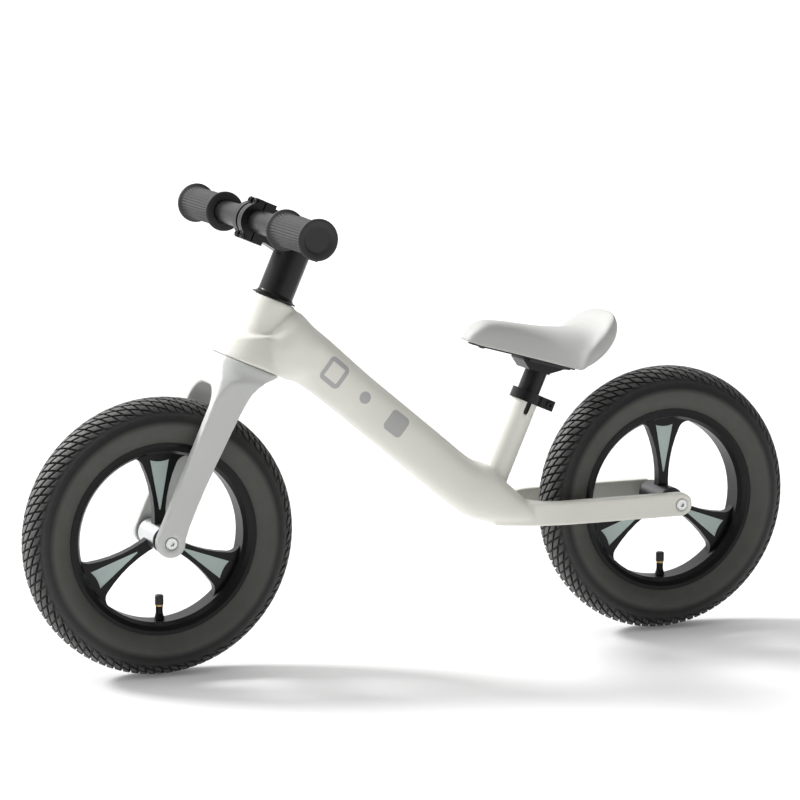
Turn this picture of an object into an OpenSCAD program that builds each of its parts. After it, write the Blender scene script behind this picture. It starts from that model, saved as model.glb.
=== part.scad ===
// Child's balance bike, 12-inch wheels.
// X runs from the front (-X) to the rear, +Y is the rider's right, Z is up.
// The origin is on the floor, midway between the wheel centres.

/* [Overall] */
// Distance between the wheel centres
wheelbase = 606; // [580:1:680]
// Outer radius of the tyres
tyre_r = 152; // [146:0.5:158]
// Radius of the tyre's round section
tyre_section_r = 27.6; // [24:0.1:29]
// Angle of the steering axis from the floor
head_angle = 66.5; // [62:0.5:72]
// Distance of the front axle ahead of the steering axis
fork_rake = 21.5; // [16:0.5:26]

/* [Frame] */
// Length of the head tube along the steering axis
head_len = 76; // [66:1:96]
// Outer radius of the head tube
head_r = 25.5; // [24:0.1:27]
// Radius of the bell at the foot of the head tube
bell_r = 45; // [42:0.5:46]
// Height of the shelf round the bell above its foot, measured straight up
bell_shelf = 34; // [28:1:38]
// Depth of the main beam at its middle
beam_depth = 54; // [46:1:62]
// Width of the main beam at its middle
beam_w = 48; // [40:1:58]
// Thickness of the main beam's wall
core_wall = 5; // [4:0.5:7]
// Width of the frame across the outsides of the stays
stay_span = 108; // [104:1:118]
// Thickness of each stay from side to side
stay_w = 14; // [11:0.5:16]
// Height of each stay
stay_h = 26.6; // [22:0.2:30]
// Room between the rear tyre and the web in front of it
stay_room = 33; // [24:1:44]
// Angle of the seat tube from the floor
seat_angle = 66.5; // [62:0.5:72]
// Distance of the seat tube's foot ahead of the web
seat_set = 41.5; // [36:0.5:48]
// Length of the seat tube from axle height
seat_tube_len = 144.5; // [126:0.5:170]
// Outer radius of the seat tube
seat_tube_r = 15.5; // [15:0.1:17]

/* [Fork] */
// Width of the fork across the outsides of its legs
fork_span = 93.2; // [90:0.2:98]
// Thickness of each fork leg from side to side
leg_w = 13.6; // [11:0.2:15]
// Front-to-back size of a fork leg at its narrowest
leg_chord = 28; // [24:0.5:31]
// Radius of the fork's tips, which also sets the flat fronts of the fork and bell
tip_r = 16; // [14.5:0.5:17]
// Gap between the tyre and the arch of the crown
crown_room = 20.5; // [14:0.5:28]
// Height of the crown above the arch
crown_h = 34.5; // [28:0.5:42]
// Gap between the turning crown and the fixed frame
crown_gap = 1; // [0.6:0.1:2]
// Outer radius of the steerer tube
steerer_r = 14.3; // [13.8:0.05:14.6]

/* [Cockpit] */
// Distance of the handlebar ahead of the steering axis
stem_reach = 54.4; // [44:0.2:64]
// Height of the handlebar above the top of the head tube, along the steering axis
stem_rise = 70; // [66:1:110]
// Outer radius of the stem's post
post_r = 19.8; // [18.5:0.1:21]
// Outer radius of the handlebar
bar_r = 12.7; // [11.1:0.1:12.7]
// Length of the handlebar tube
bar_len = 376; // [340:1:460]
// Width of the handlebar clamp
clamp_w = 28; // [26:0.5:36]
// Length of each grip
grip_len = 99; // [90:1:120]
// Radius of the grip's waist
grip_waist_r = 17.2; // [16:0.1:18.5]
// Radius of the grip's flanges
grip_flange_r = 22; // [20:0.1:24]

/* [Saddle] */
// Outer radius of the seat post
post_tube_r = 12.7; // [12:0.1:13]
// Length of seat post between its clamp and the saddle bracket
post_out = 27; // [24:1:80]
// Length of the saddle along its base
saddle_len = 171; // [155:1:185]
// Half of the saddle's width
saddle_half_w = 61; // [52:0.5:68]
// Slope of the saddle's base, nose up
saddle_tilt = 15.2; // [5:0.2:20]

/* [Wheels] */
// Radius of the opening inside the rim of a 152 mm wheel
rim_inner_r = 92.5; // [90:0.1:93.5]
// Bead seat radius of the rim of a 152 mm wheel
bead_r = 101.5; // [101:0.1:102]
// Half of the rim's width over its flanges
rim_half_w = 20.5; // [19:0.1:22]
// Half width of a spoke beside the hub
spoke_half_w = 6; // [5:0.1:8]
// Thickness of the spokes
spoke_t = 11; // [9:0.5:13]
// Radius of the hollowed flank of a spoke
spoke_flank_r = 139; // [110:1:180]
// Radius of the rounded corners where the spokes meet the rim
window_corner_r = 12; // [8:0.5:16]
// Outer radius of the hub barrel
hub_r = 15; // [14.6:0.1:16]
// Half length of the hub barrel
hub_half = 25; // [22:0.5:26.5]
// Radius of the axle, for 6000 series bearings
axle_r = 5; // [4.5:0.1:5.5]

/* [Hidden] */

$fn = 96;
LOFT_SIDES = 28;      // points round each ring of a loft
CORE_SIDES = 14;      // points round each ring of a hidden hollow
ARC_STEP = 6;         // degrees between the points of a drawn arc
RUN_FIT = 0.05;       // radial clearance of a shaft that turns in its bearing
FACE_GAP = 0.2;       // gap between end faces that turn past each other
SLIP = 0.1;           // clearance of parts that are bolted up but never rub
OVER = 1;             // how far a cutting tool runs past the face it cuts
FAR = 400;            // larger than any part of the bike

FRAME_PAINT = [0.90, 0.88, 0.82];
FORK_PAINT = [0.86, 0.87, 0.86];
SATIN_BLACK = [0.07, 0.07, 0.075];
GLOSS_BLACK = [0.03, 0.03, 0.03];
RUBBER = [0.13, 0.13, 0.14];
STEEL = [0.72, 0.73, 0.75];
PALE_ALLOY = [0.80, 0.81, 0.81];
SAGE = [0.58, 0.64, 0.63];
SADDLE_GREY = [0.80, 0.80, 0.78];
BRASS = [0.78, 0.62, 0.30];

// --- Sizes that follow from the ones above ---

// Hardware
bearing_od_r = 13;
bearing_w = 8;
bearing_land_r = 7;
head_bearing_r = steerer_r + 6.6;
head_bearing_h = 6.5;
head_bore_r = steerer_r + 3.2;
axle_bolt_r = 3;
axle_head_r = 6.5;
axle_head_h = 4;
axle_bolt_grip = 16;
counterbore_r = 7.6;
counterbore_depth = 4.4;
m5_r = 2.5;
m5_head_r = 4.25;
m5_head_h = 5;
m5_low_head_h = 4;
m5_key = 4;
m6_key = 5;
bearing_shield = 0.5;
tube_wall_t = 2;

// Steering axis: z runs up it from beside the front axle
crown_z = tyre_r + crown_room + crown_h;
head_z = crown_z + crown_gap;
head_top_z = head_z + head_len;
steerer_foot = crown_z - 20;
lower_bearing_z = head_z + 2;
cover_h = 11;
post_z = head_top_z + FACE_GAP + cover_h;
bar_z = head_top_z + stem_rise;
clamp_ring_r = bar_r + 7.6;
stem_top_z = bar_z + clamp_ring_r - 1;
lug_h = 9;
lug_depth = 13;
split = 0.8;
bolt_rise = bar_r + 6.4;
faceplate_seat = 6.5;
pinch_x = post_r + 3;
pinch_boss_w = 18;
pinch_bolt_z = [-9, 6];
steer_foot = [-wheelbase / 2 + fork_rake * sin(head_angle), tyre_r - fork_rake * cos(head_angle)];
leg_inner = fork_span / 2 - leg_w;
fork_front_x = -fork_rake - tip_r;
shoulder_r = norm([fork_front_x, fork_span / 2]) + OVER;

// Frame
web_x = wheelbase / 2 - tyre_r - stay_room;
seat_foot = [web_x - seat_set, tyre_r];
seat_bore_r = post_tube_r + 0.05;
clamp_h = 12;
clamp_r = seat_tube_r + 2.6;
clamp_ear = 33;
clamp_ear_w = 17;
clamp_bolt_x = 27;
clamp_head_y = 2 - clamp_ear_w / 2;
clamp_z = seat_tube_len - clamp_h;
post_wall = 2.2;
post_foot_z = 58;
plug_h = 8;
bracket_z = seat_tube_len + post_out;
bracket_h = 12;
post_top_z = bracket_z + 5;
saddle_nose_ahead = 97;
base_t = 3.2;
stay_inner = stay_span / 2 - stay_w;

// Both wheels are alike. The rims follow the tyres in size
stated_tyre_r = 152;
rim_r = rim_inner_r + tyre_r - stated_tyre_r;
seat_r = bead_r + tyre_r - stated_tyre_r;
flange_r = seat_r + 3.5;
flange_lip = 2.2;
well_depth = 4.5;
tyre_wall = 3.2;
tube_gap = 1.2;
tube_wall = 1.1;
section_z = tyre_r - tyre_section_r;
cap_w = 2.5;
spoke_count = 3;
flank_u = 21;
panel_t = 0.9;
panel_apex = 30;
panel_end = rim_r - 8;
panel_half_w = 10.6;
valve_stem_r = 4.1;
valve_r = 3.9;
valve_cap_r = 4.7;
valve_cap_len = 10.5;
valve_len = 15.5;
valve_tip = rim_r - valve_len;
nut_h = 1.4;

function mix(a, b, t) = a * (1 - t) + b * t;
function polar(r, a) = [r * cos(a), r * sin(a)];
function turn(p, a) = [p[0] * cos(a) - p[1] * sin(a), p[0] * sin(a) + p[1] * cos(a)];
function heading(v) = atan2(v[1], v[0]);
// Points along an arc from angle a0 to angle a1
function arc(c, r, a0, a1) =
    let (n = max(2, ceil(abs(a1 - a0) / ARC_STEP)))
    [for (i = [0 : n]) c + polar(r, a0 + (a1 - a0) * i / n)];
// A point of the steering plane as [x, z] in the bike's own frame
function steer_xz(back, up) = steer_foot + [
    back * sin(head_angle) + up * cos(head_angle),
    up * sin(head_angle) - back * cos(head_angle)
];
// Catmull-Rom value between b and c
function blend(a, b, c, d, t) =
    0.5 * ((2 * b) + (c - a) * t + (2 * a - 5 * b + 4 * c - d) * t * t
    + (3 * b - a - 3 * c + d) * t * t * t);
// Stations with "steps" rings between each pair
function smooth(s, steps) = let (n = len(s)) [
    for (i = [0 : n - 2]) for (k = [0 : steps - 1])
        blend(s[max(i - 1, 0)], s[i], s[i + 1], s[min(i + 2, n - 1)], k / steps),
    s[n - 1]
];
function power(v, p) = sign(v) * pow(abs(v), p);

module on_steering() {
    translate([steer_foot[0], 0, steer_foot[1]]) rotate([0, 90 - head_angle, 0]) children();
}

module on_seat_tube() {
    translate([seat_foot[0], 0, seat_foot[1]]) rotate([0, 90 - seat_angle, 0]) children();
}

module on_front_axle() {
    translate([-wheelbase / 2, 0, tyre_r]) children();
}

module on_rear_axle() {
    translate([wheelbase / 2, 0, tyre_r]) children();
}

// Turns a z-axis shape so that z runs along +Y and x stays x
module along_y() {
    rotate([-90, 0, 0]) children();
}

// A side view drawn in [x, z], given a width across the bike
module side_plate(width) {
    rotate([90, 0, 0]) linear_extrude(width, center = true) children();
}

module ring(r_out, r_in, h) {
    difference() {
        cylinder(r = r_out, h = h);
        translate([0, 0, -OVER]) cylinder(r = r_in, h = h + 2 * OVER);
    }
}

module both_sides() {
    children();
    mirror([0, 1, 0]) children();
}

// A closed skin over rings of equal point counts
module skin(rings) {
    n = len(rings[0]);
    m = len(rings);
    polyhedron(
        points = [for (r = rings) each r],
        faces = [
            [for (i = [0 : n - 1]) i],
            for (j = [0 : m - 2]) for (i = [0 : n - 1])
                [j * n + i, (j + 1) * n + i, (j + 1) * n + (i + 1) % n],
            for (j = [0 : m - 2]) for (i = [0 : n - 1])
                [j * n + i, (j + 1) * n + (i + 1) % n, j * n + (i + 1) % n],
            [for (i = [n - 1 : -1 : 0]) (m - 1) * n + i]
        ]
    );
}

// --- Frame ---

// A station of the beam is [top x, top z, bottom x, bottom z, half width]. The first four stand
// off the foot of the head tube, the last four off the web at axle height
function beam_stations() = let (
    neck = steer_xz(0, head_z),
    nn = [neck[0], neck[1], neck[0], neck[1], 0],
    w = [web_x, tyre_r, web_x, tyre_r, 0],
    mid = beam_w / 2,
    neck_3 = nn + [95, 20, 60, -26, mid + 7],
    web_1 = w + [-58, 62, -85, 14, mid + 3],
    fall = heading([web_1[0] + web_1[2] - neck_3[0] - neck_3[2], web_1[1] + web_1[3] - neck_3[1] - neck_3[3]]),
    lift = [-sin(fall), cos(fall)] * beam_depth / 2
) [
    nn + [24, 40, -14, 2, bell_r - 9],
    nn + [50, 58, 8, -18.5, bell_r - 1],
    nn + [72, 39, 38, -18.8, mix(bell_r, mid, 0.2)],
    neck_3,
    for (t = [0.25, 0.5, 0.75]) let (
        c = [mix(neck_3[0] + neck_3[2], web_1[0] + web_1[2], t), mix(neck_3[1] + neck_3[3], web_1[1] + web_1[3], t)] / 2
    ) [c[0] + lift[0], c[1] + lift[1], c[0] - lift[0], c[1] - lift[1], mid + 2 * abs(2 * t - 1)],
    web_1,
    w + [-38, 54, -56, -6, mid + 9],
    w + [-17, 34, -26, -stay_h / 2, stay_span / 2 - 11],
    w + [2, stay_h / 2 + 2, 2, -stay_h / 2, stay_span / 2 - 6]
];

// The ring of one station, drawn in by a wall thickness
function beam_ring(s, wall, sides) = let (depth = norm([s[0] - s[2], s[1] - s[3]])) [
    for (i = [0 : sides - 1]) let (
        a = 360 * i / sides,
        side = (s[4] - wall) * power(cos(a), 0.72),
        up = 0.5 + (0.5 - wall / depth) * power(sin(a), 0.72)
    ) [mix(s[2], s[0], up), side, mix(s[3], s[1], up)]
];

module main_beam() {
    skin([for (s = smooth(beam_stations(), 3)) beam_ring(s, 0, LOFT_SIDES)]);
}

// The hollow inside the beam runs from the head tube's bore to the seat tube's
module beam_core() {
    s = beam_stations();
    skin([for (i = [1 : len(s) - 3]) beam_ring(s[i], core_wall, CORE_SIDES)]);
}

// Bell of the head casting: a revolved flare cut level at its shelf
module head_bell() {
    shelf_z = steer_xz(0, head_z)[1] + bell_shelf;
    intersection() {
        on_steering() rotate_extrude() polygon([
            [0, head_z], [bell_r, head_z], [bell_r - 2, head_z + 12], [bell_r - 6, head_z + 26],
            [bell_r - 11, head_z + 42], [bell_r - 16, head_z + 56], [0, head_z + 56]
        ]);
        on_steering() translate([fork_front_x, -FAR / 2, 0]) cube([FAR, FAR, FAR]);
        translate([-FAR, -FAR / 2, 0]) cube([FAR, FAR, shelf_z]);
    }
}

module head_tube() {
    lip = 1.5;
    on_steering() translate([0, 0, head_z]) {
        cylinder(r = head_r, h = head_len - 2 * lip);
        translate([0, 0, head_len - 2 * lip]) cylinder(r1 = head_r, r2 = head_r - lip, h = 2 * lip);
    }
}

module head_bores() {
    on_steering() {
        translate([0, 0, head_z - OVER]) cylinder(r = head_bore_r, h = head_len + 2 * OVER);
        translate([0, 0, head_z - OVER]) cylinder(r = head_bearing_r, h = lower_bearing_z + head_bearing_h - head_z + OVER);
        translate([0, 0, head_top_z - head_bearing_h]) cylinder(r = head_bearing_r, h = head_bearing_h + OVER);
        // room for the crown to turn under the bell
        translate([0, 0, head_z - FAR / 4]) cylinder(r = bell_r + crown_gap, h = FAR / 4);
    }
}

// Stays and the web between them, seen from above, and rounded at the tips from the side
module stays() {
    outer = stay_span / 2;
    tip = stay_h / 2;
    u_front = web_x + 3 + stay_inner;
    intersection() {
        translate([0, 0, tyre_r - stay_h / 2]) linear_extrude(stay_h) difference() {
            polygon([
                [web_x - 34, outer - 26], [web_x - 6, outer - 12], [web_x + 14, outer - 5],
                [web_x + 40, outer - 1], [web_x + 70, outer],
                [wheelbase / 2 + tip, outer], [wheelbase / 2 + tip, -outer],
                [web_x + 70, -outer], [web_x + 40, 1 - outer], [web_x + 14, 5 - outer],
                [web_x - 6, 12 - outer], [web_x - 34, 26 - outer]
            ]);
            translate([u_front, 0]) circle(r = stay_inner);
            translate([u_front, -stay_inner]) square([FAR, 2 * stay_inner]);
        }
        side_plate(stay_span + 2 * OVER) {
            translate([wheelbase / 2, tyre_r]) circle(r = tip);
            translate([web_x - 40, tyre_r - tip]) square([wheelbase / 2 - web_x + 40, stay_h]);
        }
    }
}

module seat_tube() {
    on_seat_tube() cylinder(r = seat_tube_r, h = seat_tube_len);
}

module seat_bore() {
    slot_w = 4;
    slot_foot = clamp_z - 12;
    on_seat_tube() {
        translate([0, 0, 20]) cylinder(r = seat_bore_r, h = seat_tube_len);
        // compression slot, round at its foot, on the rider's left
        translate([0, 0, slot_foot]) rotate([90, 0, 0]) cylinder(r = slot_w / 2, h = 2 * seat_tube_r);
        translate([-slot_w / 2, -2 * seat_tube_r, slot_foot]) cube([slot_w, 2 * seat_tube_r, FAR / 4]);
    }
}

// Bore and counterbore for an axle bolt through one tip, on the +Y side
module axle_bolt_bore(outer) {
    along_y() cylinder(r = axle_bolt_r + SLIP, h = outer + OVER);
    translate([0, outer - counterbore_depth, 0]) along_y() cylinder(r = counterbore_r, h = counterbore_depth + OVER);
}

module frame() {
    color(FRAME_PAINT) difference() {
        union() {
            main_beam();
            head_bell();
            head_tube();
            stays();
            seat_tube();
        }
        beam_core();
        head_bores();
        seat_bore();
        on_rear_axle() both_sides() axle_bolt_bore(stay_span / 2);
    }
}

// A cartridge bearing standing on z = 0, with its shields set in
module cartridge(r_out, r_in, h, land) {
    rotate_extrude() difference() {
        translate([r_in, 0]) square([r_out - r_in, h]);
        for (z = [-OVER, h - bearing_shield]) translate([r_in + land, z]) square([r_out - r_in - 2 * land, bearing_shield + OVER]);
    }
}

module upper_bearing() {
    color(STEEL) on_steering() translate([0, 0, head_top_z - head_bearing_h])
        cartridge(head_bearing_r, steerer_r + RUN_FIT, head_bearing_h, 1.5);
}

module lower_bearing() {
    color(STEEL) on_steering() translate([0, 0, lower_bearing_z])
        cartridge(head_bearing_r, steerer_r + RUN_FIT, head_bearing_h, 1.5);
}

module seat_clamp() {
    slit = 2.4;
    color(SATIN_BLACK) on_seat_tube() translate([0, 0, clamp_z]) difference() {
        union() {
            cylinder(r = clamp_r, h = clamp_h);
            translate([0, -clamp_ear_w / 2, 0]) cube([clamp_ear, clamp_ear_w, clamp_h]);
        }
        translate([0, 0, -OVER]) cylinder(r = seat_tube_r, h = clamp_h + 2 * OVER);
        translate([0, -slit / 2, -OVER]) cube([FAR, slit, clamp_h + 2 * OVER]);
        translate([clamp_bolt_x, clamp_ear_w, clamp_h / 2]) rotate([90, 0, 0]) cylinder(r = m5_r, h = 2 * clamp_ear_w);
        translate([clamp_bolt_x, clamp_head_y, clamp_h / 2]) rotate([90, 0, 0]) cylinder(r = m5_head_r + SLIP, h = clamp_ear_w);
    }
}

// A socket-head bolt that lies along +Z, with the head's underside on z = 0
module socket_bolt(r, len, head_r, head_h, key) {
    difference() {
        union() {
            translate([0, 0, -len]) cylinder(r = r, h = len);
            cylinder(r = head_r, h = head_h * 0.8);
            translate([0, 0, head_h * 0.8]) cylinder(r1 = head_r, r2 = head_r - head_h * 0.2, h = head_h * 0.2);
        }
        translate([0, 0, head_h * 0.35]) cylinder(r = key / 2 / cos(30), h = head_h, $fn = 6);
    }
}

module seat_clamp_bolt() {
    color(STEEL) on_seat_tube() translate([clamp_bolt_x, clamp_head_y, clamp_z + clamp_h / 2]) rotate([90, 0, 0])
        socket_bolt(m5_r, clamp_ear_w - 3, m5_head_r, m5_low_head_h, m5_key);
}

// --- Seat post and saddle ---

module seat_post() {
    color(SATIN_BLACK) on_seat_tube() translate([0, 0, post_foot_z])
        ring(post_tube_r, post_tube_r - post_wall, post_top_z - post_foot_z);
}

module seat_post_plug() {
    color(SATIN_BLACK) on_seat_tube() translate([0, 0, post_foot_z]) {
        cylinder(r = post_tube_r - post_wall, h = plug_h);
        translate([0, 0, -1.5]) cylinder(r = post_tube_r - 0.4, h = 1.5);
    }
}

// The saddle's own frame: x runs back along its base from the nose, z up from the base
function saddle_origin() = let (
    top = bracket_z + bracket_h,
    hub = seat_foot + [top * cos(seat_angle), top * sin(seat_angle)]
) hub + [-saddle_nose_ahead * cos(saddle_tilt), saddle_nose_ahead * sin(saddle_tilt)];

module on_saddle() {
    o = saddle_origin();
    translate([o[0], 0, o[1]]) rotate([0, saddle_tilt, 0]) children();
}

module saddle_bracket() {
    half_w = 17;
    drop = bracket_h + 2;
    x0 = saddle_nose_ahead;
    color(SATIN_BLACK) difference() {
        union() {
            on_saddle() side_plate(2 * half_w)
                polygon([[x0 - 29, -base_t], [x0 + 23, -base_t], [x0 + 23, -base_t - 2], [x0 + 6, -drop], [x0 - 19, -drop], [x0 - 29, -base_t - 2]]);
            on_seat_tube() translate([0, 0, bracket_z - 2]) cylinder(r = post_tube_r + 3, h = 7);
        }
        on_seat_tube() translate([0, 0, bracket_z - 8]) cylinder(r = post_tube_r, h = post_top_z - bracket_z + 8);
    }
}

// A station is [top x, top z, bottom x, bottom z, half width], with the length and width as drawn
function saddle_stations() = let (k = saddle_len / 171, w = saddle_half_w) [
    [2 * k, 5, 1 * k, 3, 5],
    [6 * k, 14, 3 * k, 0.6, 13],
    [18 * k, 26, 13 * k, 0, 18],
    [38 * k, 30.5, 36 * k, 0, 20.5],
    [64 * k, 33, 63 * k, 0, w * 0.42],
    [90 * k, 35.5, 90 * k, 0, w * 0.6],
    [112 * k, 39, 113 * k, 0, w * 0.83],
    [129 * k, 43, 132 * k, 1, w * 0.97],
    [141 * k, 48.5, 149 * k, 8, w],
    [149 * k, 56, 162 * k, 21, w * 0.95],
    [154 * k, 64, 170 * k, 38, w * 0.84],
    [158 * k, 69, 171 * k, 52, w * 0.68],
    [161 * k, 70.5, 168 * k, 62, w * 0.5]
];

// Crowned above, with a flat belly and a tight lower edge
function saddle_ring(s) = let (depth = norm([s[0] - s[2], s[1] - s[3]]), hip = min(7, depth * 0.45) / depth) [
    for (i = [0 : LOFT_SIDES - 1]) let (
        a = 360 * i / LOFT_SIDES,
        over = a < 180,
        side = s[4] * power(cos(a), over ? 0.9 : 0.35),
        up = over ? hip + (1 - hip) * power(sin(a), 0.8) : hip * (1 - power(abs(sin(a)), 0.5))
    ) [mix(s[2], s[0], up), side, mix(s[3], s[1], up)]
];

module saddle_cover() {
    color(SADDLE_GREY) on_saddle() skin([for (s = smooth(saddle_stations(), 2)) saddle_ring(s)]);
}

module saddle_base() {
    k = saddle_len / 171;
    w = saddle_half_w;
    inset = 3;
    side = [[8, 11], [20, 16], [38, 18.5], [64, w * 0.42 - inset], [90, w * 0.6 - inset], [112, w * 0.83 - inset], [128, w * 0.9 - inset], [134, w * 0.8]];
    half = smooth(side, 3);
    color(SATIN_BLACK) on_saddle() translate([0, 0, -base_t]) linear_extrude(base_t - 0.1) polygon([
        for (p = half) [p[0] * k, p[1]],
        for (i = [len(half) - 1 : -1 : 0]) [half[i][0] * k, -half[i][1]]
    ]);
}

module saddle_screws() {
    color(STEEL) on_saddle() for (p = [[24, 0], [118, 34], [118, -34]])
        translate([p[0] * saddle_len / 171, p[1], -base_t - 1.8]) cylinder(r = 4, h = 1.8);
}

// --- Fork ---

// Side view of the fork in the steering frame: x runs back from the axis, y is height
module fork_side() {
    rear = fork_front_x + leg_chord;
    polygon([
        [fork_front_x, crown_z], [30, crown_z], [30, crown_z - 5],
        [24, crown_z - 8], [12, crown_z - 13.5], [5, crown_z - 20], [0.5, crown_z - 29], [-2, crown_z - 43],
        [-3.8, crown_z - 60], [rear + 4, crown_z - 85], [rear + 2, crown_z - 112], [rear + 0.5, crown_z - 137],
        [rear, crown_z - 157], [rear, 24],
        each arc([-fork_rake, 0], tip_r, 32, -180)
    ]);
}

// Front view: two legs joined by an arch over the tyre
module fork_front() {
    arch_top = tyre_r + crown_room;
    arch_r = 24;
    outer = fork_span / 2;
    difference() {
        translate([-outer, -tip_r]) square([2 * outer, crown_z + tip_r]);
        translate([-leg_inner, -tip_r - OVER]) square([2 * leg_inner, arch_top - arch_r + tip_r + OVER]);
        translate([-leg_inner + arch_r, 0]) square([2 * (leg_inner - arch_r), arch_top]);
        for (s = [-1, 1]) translate([s * (leg_inner - arch_r), arch_top - arch_r]) circle(r = arch_r);
    }
}

module fork() {
    shoulder_z = crown_z - 34;
    color(FORK_PAINT) difference() {
        on_steering() {
            translate([0, 0, steerer_foot - 1.5]) cylinder(r = steerer_r + 3, h = crown_z - steerer_foot - 2);
            intersection() {
                side_plate(fork_span + 2 * OVER) fork_side();
                rotate([90, 0, 90]) linear_extrude(FAR, center = true) fork_front();
                // shoulders: the crown shrinks to the round of the bell
                rotate_extrude() polygon([
                    [0, -tip_r - OVER], [shoulder_r, -tip_r - OVER], [shoulder_r, shoulder_z - 22],
                    [shoulder_r - 3, shoulder_z - 6], each arc([bell_r + 16, crown_z - 8], 16, 240, 180),
                    [bell_r, crown_z], [0, crown_z]
                ]);
            }
        }
        on_steering() translate([0, 0, steerer_foot]) cylinder(r = steerer_r, h = FAR);
        on_front_axle() both_sides() axle_bolt_bore(fork_span / 2);
    }
}

module steerer_tube() {
    color(STEEL) on_steering() translate([0, 0, steerer_foot])
        ring(steerer_r, steerer_r - tube_wall_t, stem_top_z - 3 - steerer_foot);
}

module crown_race() {
    color(STEEL) on_steering() translate([0, 0, crown_z])
        ring(steerer_r + 4, steerer_r, lower_bearing_z - FACE_GAP - crown_z);
}

// Dust cover: a flat skirt that sweeps up into the post
module headset_cover() {
    skirt = head_r - 0.7;
    sweep = skirt - post_r;
    color(SATIN_BLACK) on_steering() translate([0, 0, head_top_z + FACE_GAP]) rotate_extrude() polygon([
        [steerer_r, 0], [skirt, 0], each arc([skirt, 1.4 + sweep], sweep, 270, 180),
        [post_r, cover_h], [steerer_r, cover_h]
    ]);
}

// --- Cockpit ---

// Side view of the stem's arm in the steering frame
module stem_arm_side() {
    arm_h = 17;
    polygon([
        [-stem_reach, bar_z + clamp_ring_r], [-stem_reach + 14, stem_top_z], [0, stem_top_z],
        [0, bar_z - arm_h - 8], [-stem_reach + 16, bar_z - clamp_ring_r + 2], [-stem_reach, bar_z - clamp_ring_r]
    ]);
}

module lug_plate(x0, x1) {
    for (s = [-1, 1]) translate([x0, -clamp_w / 2, bar_z + s * (bolt_rise - 0.5) - lug_h / 2]) cube([x1 - x0, clamp_w, lug_h]);
}

// The four faceplate bolts stand at these places across and up from the bar
module faceplate_bolt_places() {
    for (y = [-1, 1]) for (s = [-1, 1])
        translate([-stem_reach, y * (clamp_w / 2 - 5.5), bar_z + s * bolt_rise]) children();
}

module bar_clamp_ring() {
    translate([-stem_reach, 0, bar_z]) rotate([90, 0, 0]) cylinder(r = clamp_ring_r, h = clamp_w, center = true);
}

module stem() {
    color(SATIN_BLACK) on_steering() difference() {
        union() {
            translate([0, 0, post_z]) cylinder(r = post_r, h = stem_top_z - post_z - 2);
            translate([0, 0, stem_top_z - 2]) cylinder(r1 = post_r, r2 = post_r - 2, h = 2);
            side_plate(clamp_w) stem_arm_side();
            bar_clamp_ring();
            lug_plate(-stem_reach, -stem_reach + lug_depth);
            translate([0, -pinch_boss_w / 2, bar_z - 16]) cube([pinch_x + 5, pinch_boss_w, 28]);
        }
        translate([0, 0, post_z - OVER]) cylinder(r = steerer_r, h = FAR / 2);
        translate([-stem_reach, 0, bar_z]) rotate([90, 0, 0]) cylinder(r = bar_r, h = FAR, center = true);
        translate([-stem_reach - FAR / 2 + split, -FAR / 2, post_z]) cube([FAR / 2, FAR, FAR / 2]);
        faceplate_bolt_places() rotate([0, 90, 0]) cylinder(r = m5_r, h = lug_depth - SLIP);
        // pinch slit and its two bolts
        translate([0, -1, bar_z - 30]) cube([FAR / 8, 2, 60]);
        for (z = pinch_bolt_z) translate([pinch_x, 0, bar_z + z]) rotate([90, 0, 0])
            cylinder(r = m5_r, h = FAR / 8, center = true);
    }
}

module stem_faceplate() {
    band_groove = 2.6;
    color(SATIN_BLACK) on_steering() difference() {
        union() {
            bar_clamp_ring();
            lug_plate(-stem_reach - 8, -stem_reach);
        }
        translate([-stem_reach, 0, bar_z]) rotate([90, 0, 0]) cylinder(r = bar_r, h = FAR, center = true);
        translate([-stem_reach - split, -FAR / 2, post_z]) cube([FAR / 2, FAR, FAR / 2]);
        translate([-stem_reach, 0, bar_z]) rotate([90, 0, 0]) difference() {
            cylinder(r = FAR / 8, h = 5, center = true);
            cylinder(r = clamp_ring_r - band_groove, h = 5 + 2 * OVER, center = true);
        }
        faceplate_bolt_places() rotate([0, -90, 0]) {
            cylinder(r = m5_r, h = FAR / 8);
            translate([0, 0, faceplate_seat]) cylinder(r = m5_head_r + SLIP, h = FAR / 8);
        }
    }
}

module faceplate_bolts() {
    color(STEEL) on_steering() faceplate_bolt_places() translate([-faceplate_seat, 0, 0]) rotate([0, -90, 0])
        socket_bolt(m5_r, 17, m5_head_r, m5_head_h, m5_key);
}

module stem_pinch_bolts() {
    color(STEEL) on_steering() for (z = pinch_bolt_z) translate([pinch_x, -pinch_boss_w / 2, bar_z + z])
        rotate([90, 0, 0]) socket_bolt(m5_r, pinch_boss_w - 1, m5_head_r, m5_low_head_h, m5_key);
}

module star_nut() {
    color(STEEL) on_steering() translate([0, 0, stem_top_z - 28]) difference() {
        union() {
            cylinder(r = 5, h = 14);
            for (z = [1, 11]) translate([0, 0, z]) cylinder(r = steerer_r - tube_wall_t, h = 1);
        }
        translate([0, 0, -OVER]) cylinder(r = axle_bolt_r, h = 20);
    }
}

module stem_top_cap() {
    color(SATIN_BLACK) on_steering() translate([0, 0, stem_top_z]) difference() {
        union() {
            cylinder(r = post_r - 2, h = 2);
            translate([0, 0, 2]) cylinder(r1 = post_r - 2, r2 = post_r - 4, h = 1.5);
            translate([0, 0, -2.5]) cylinder(r = steerer_r - SLIP, h = 3);
        }
        translate([0, 0, -OVER * 3]) cylinder(r = axle_bolt_r, h = 20);
        translate([0, 0, 1]) cylinder(r = axle_head_r + SLIP, h = 20);
    }
}

module top_cap_bolt() {
    color(STEEL) on_steering() translate([0, 0, stem_top_z + 1])
        socket_bolt(axle_bolt_r, 28, axle_head_r, 3.5, m6_key);
}

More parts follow.
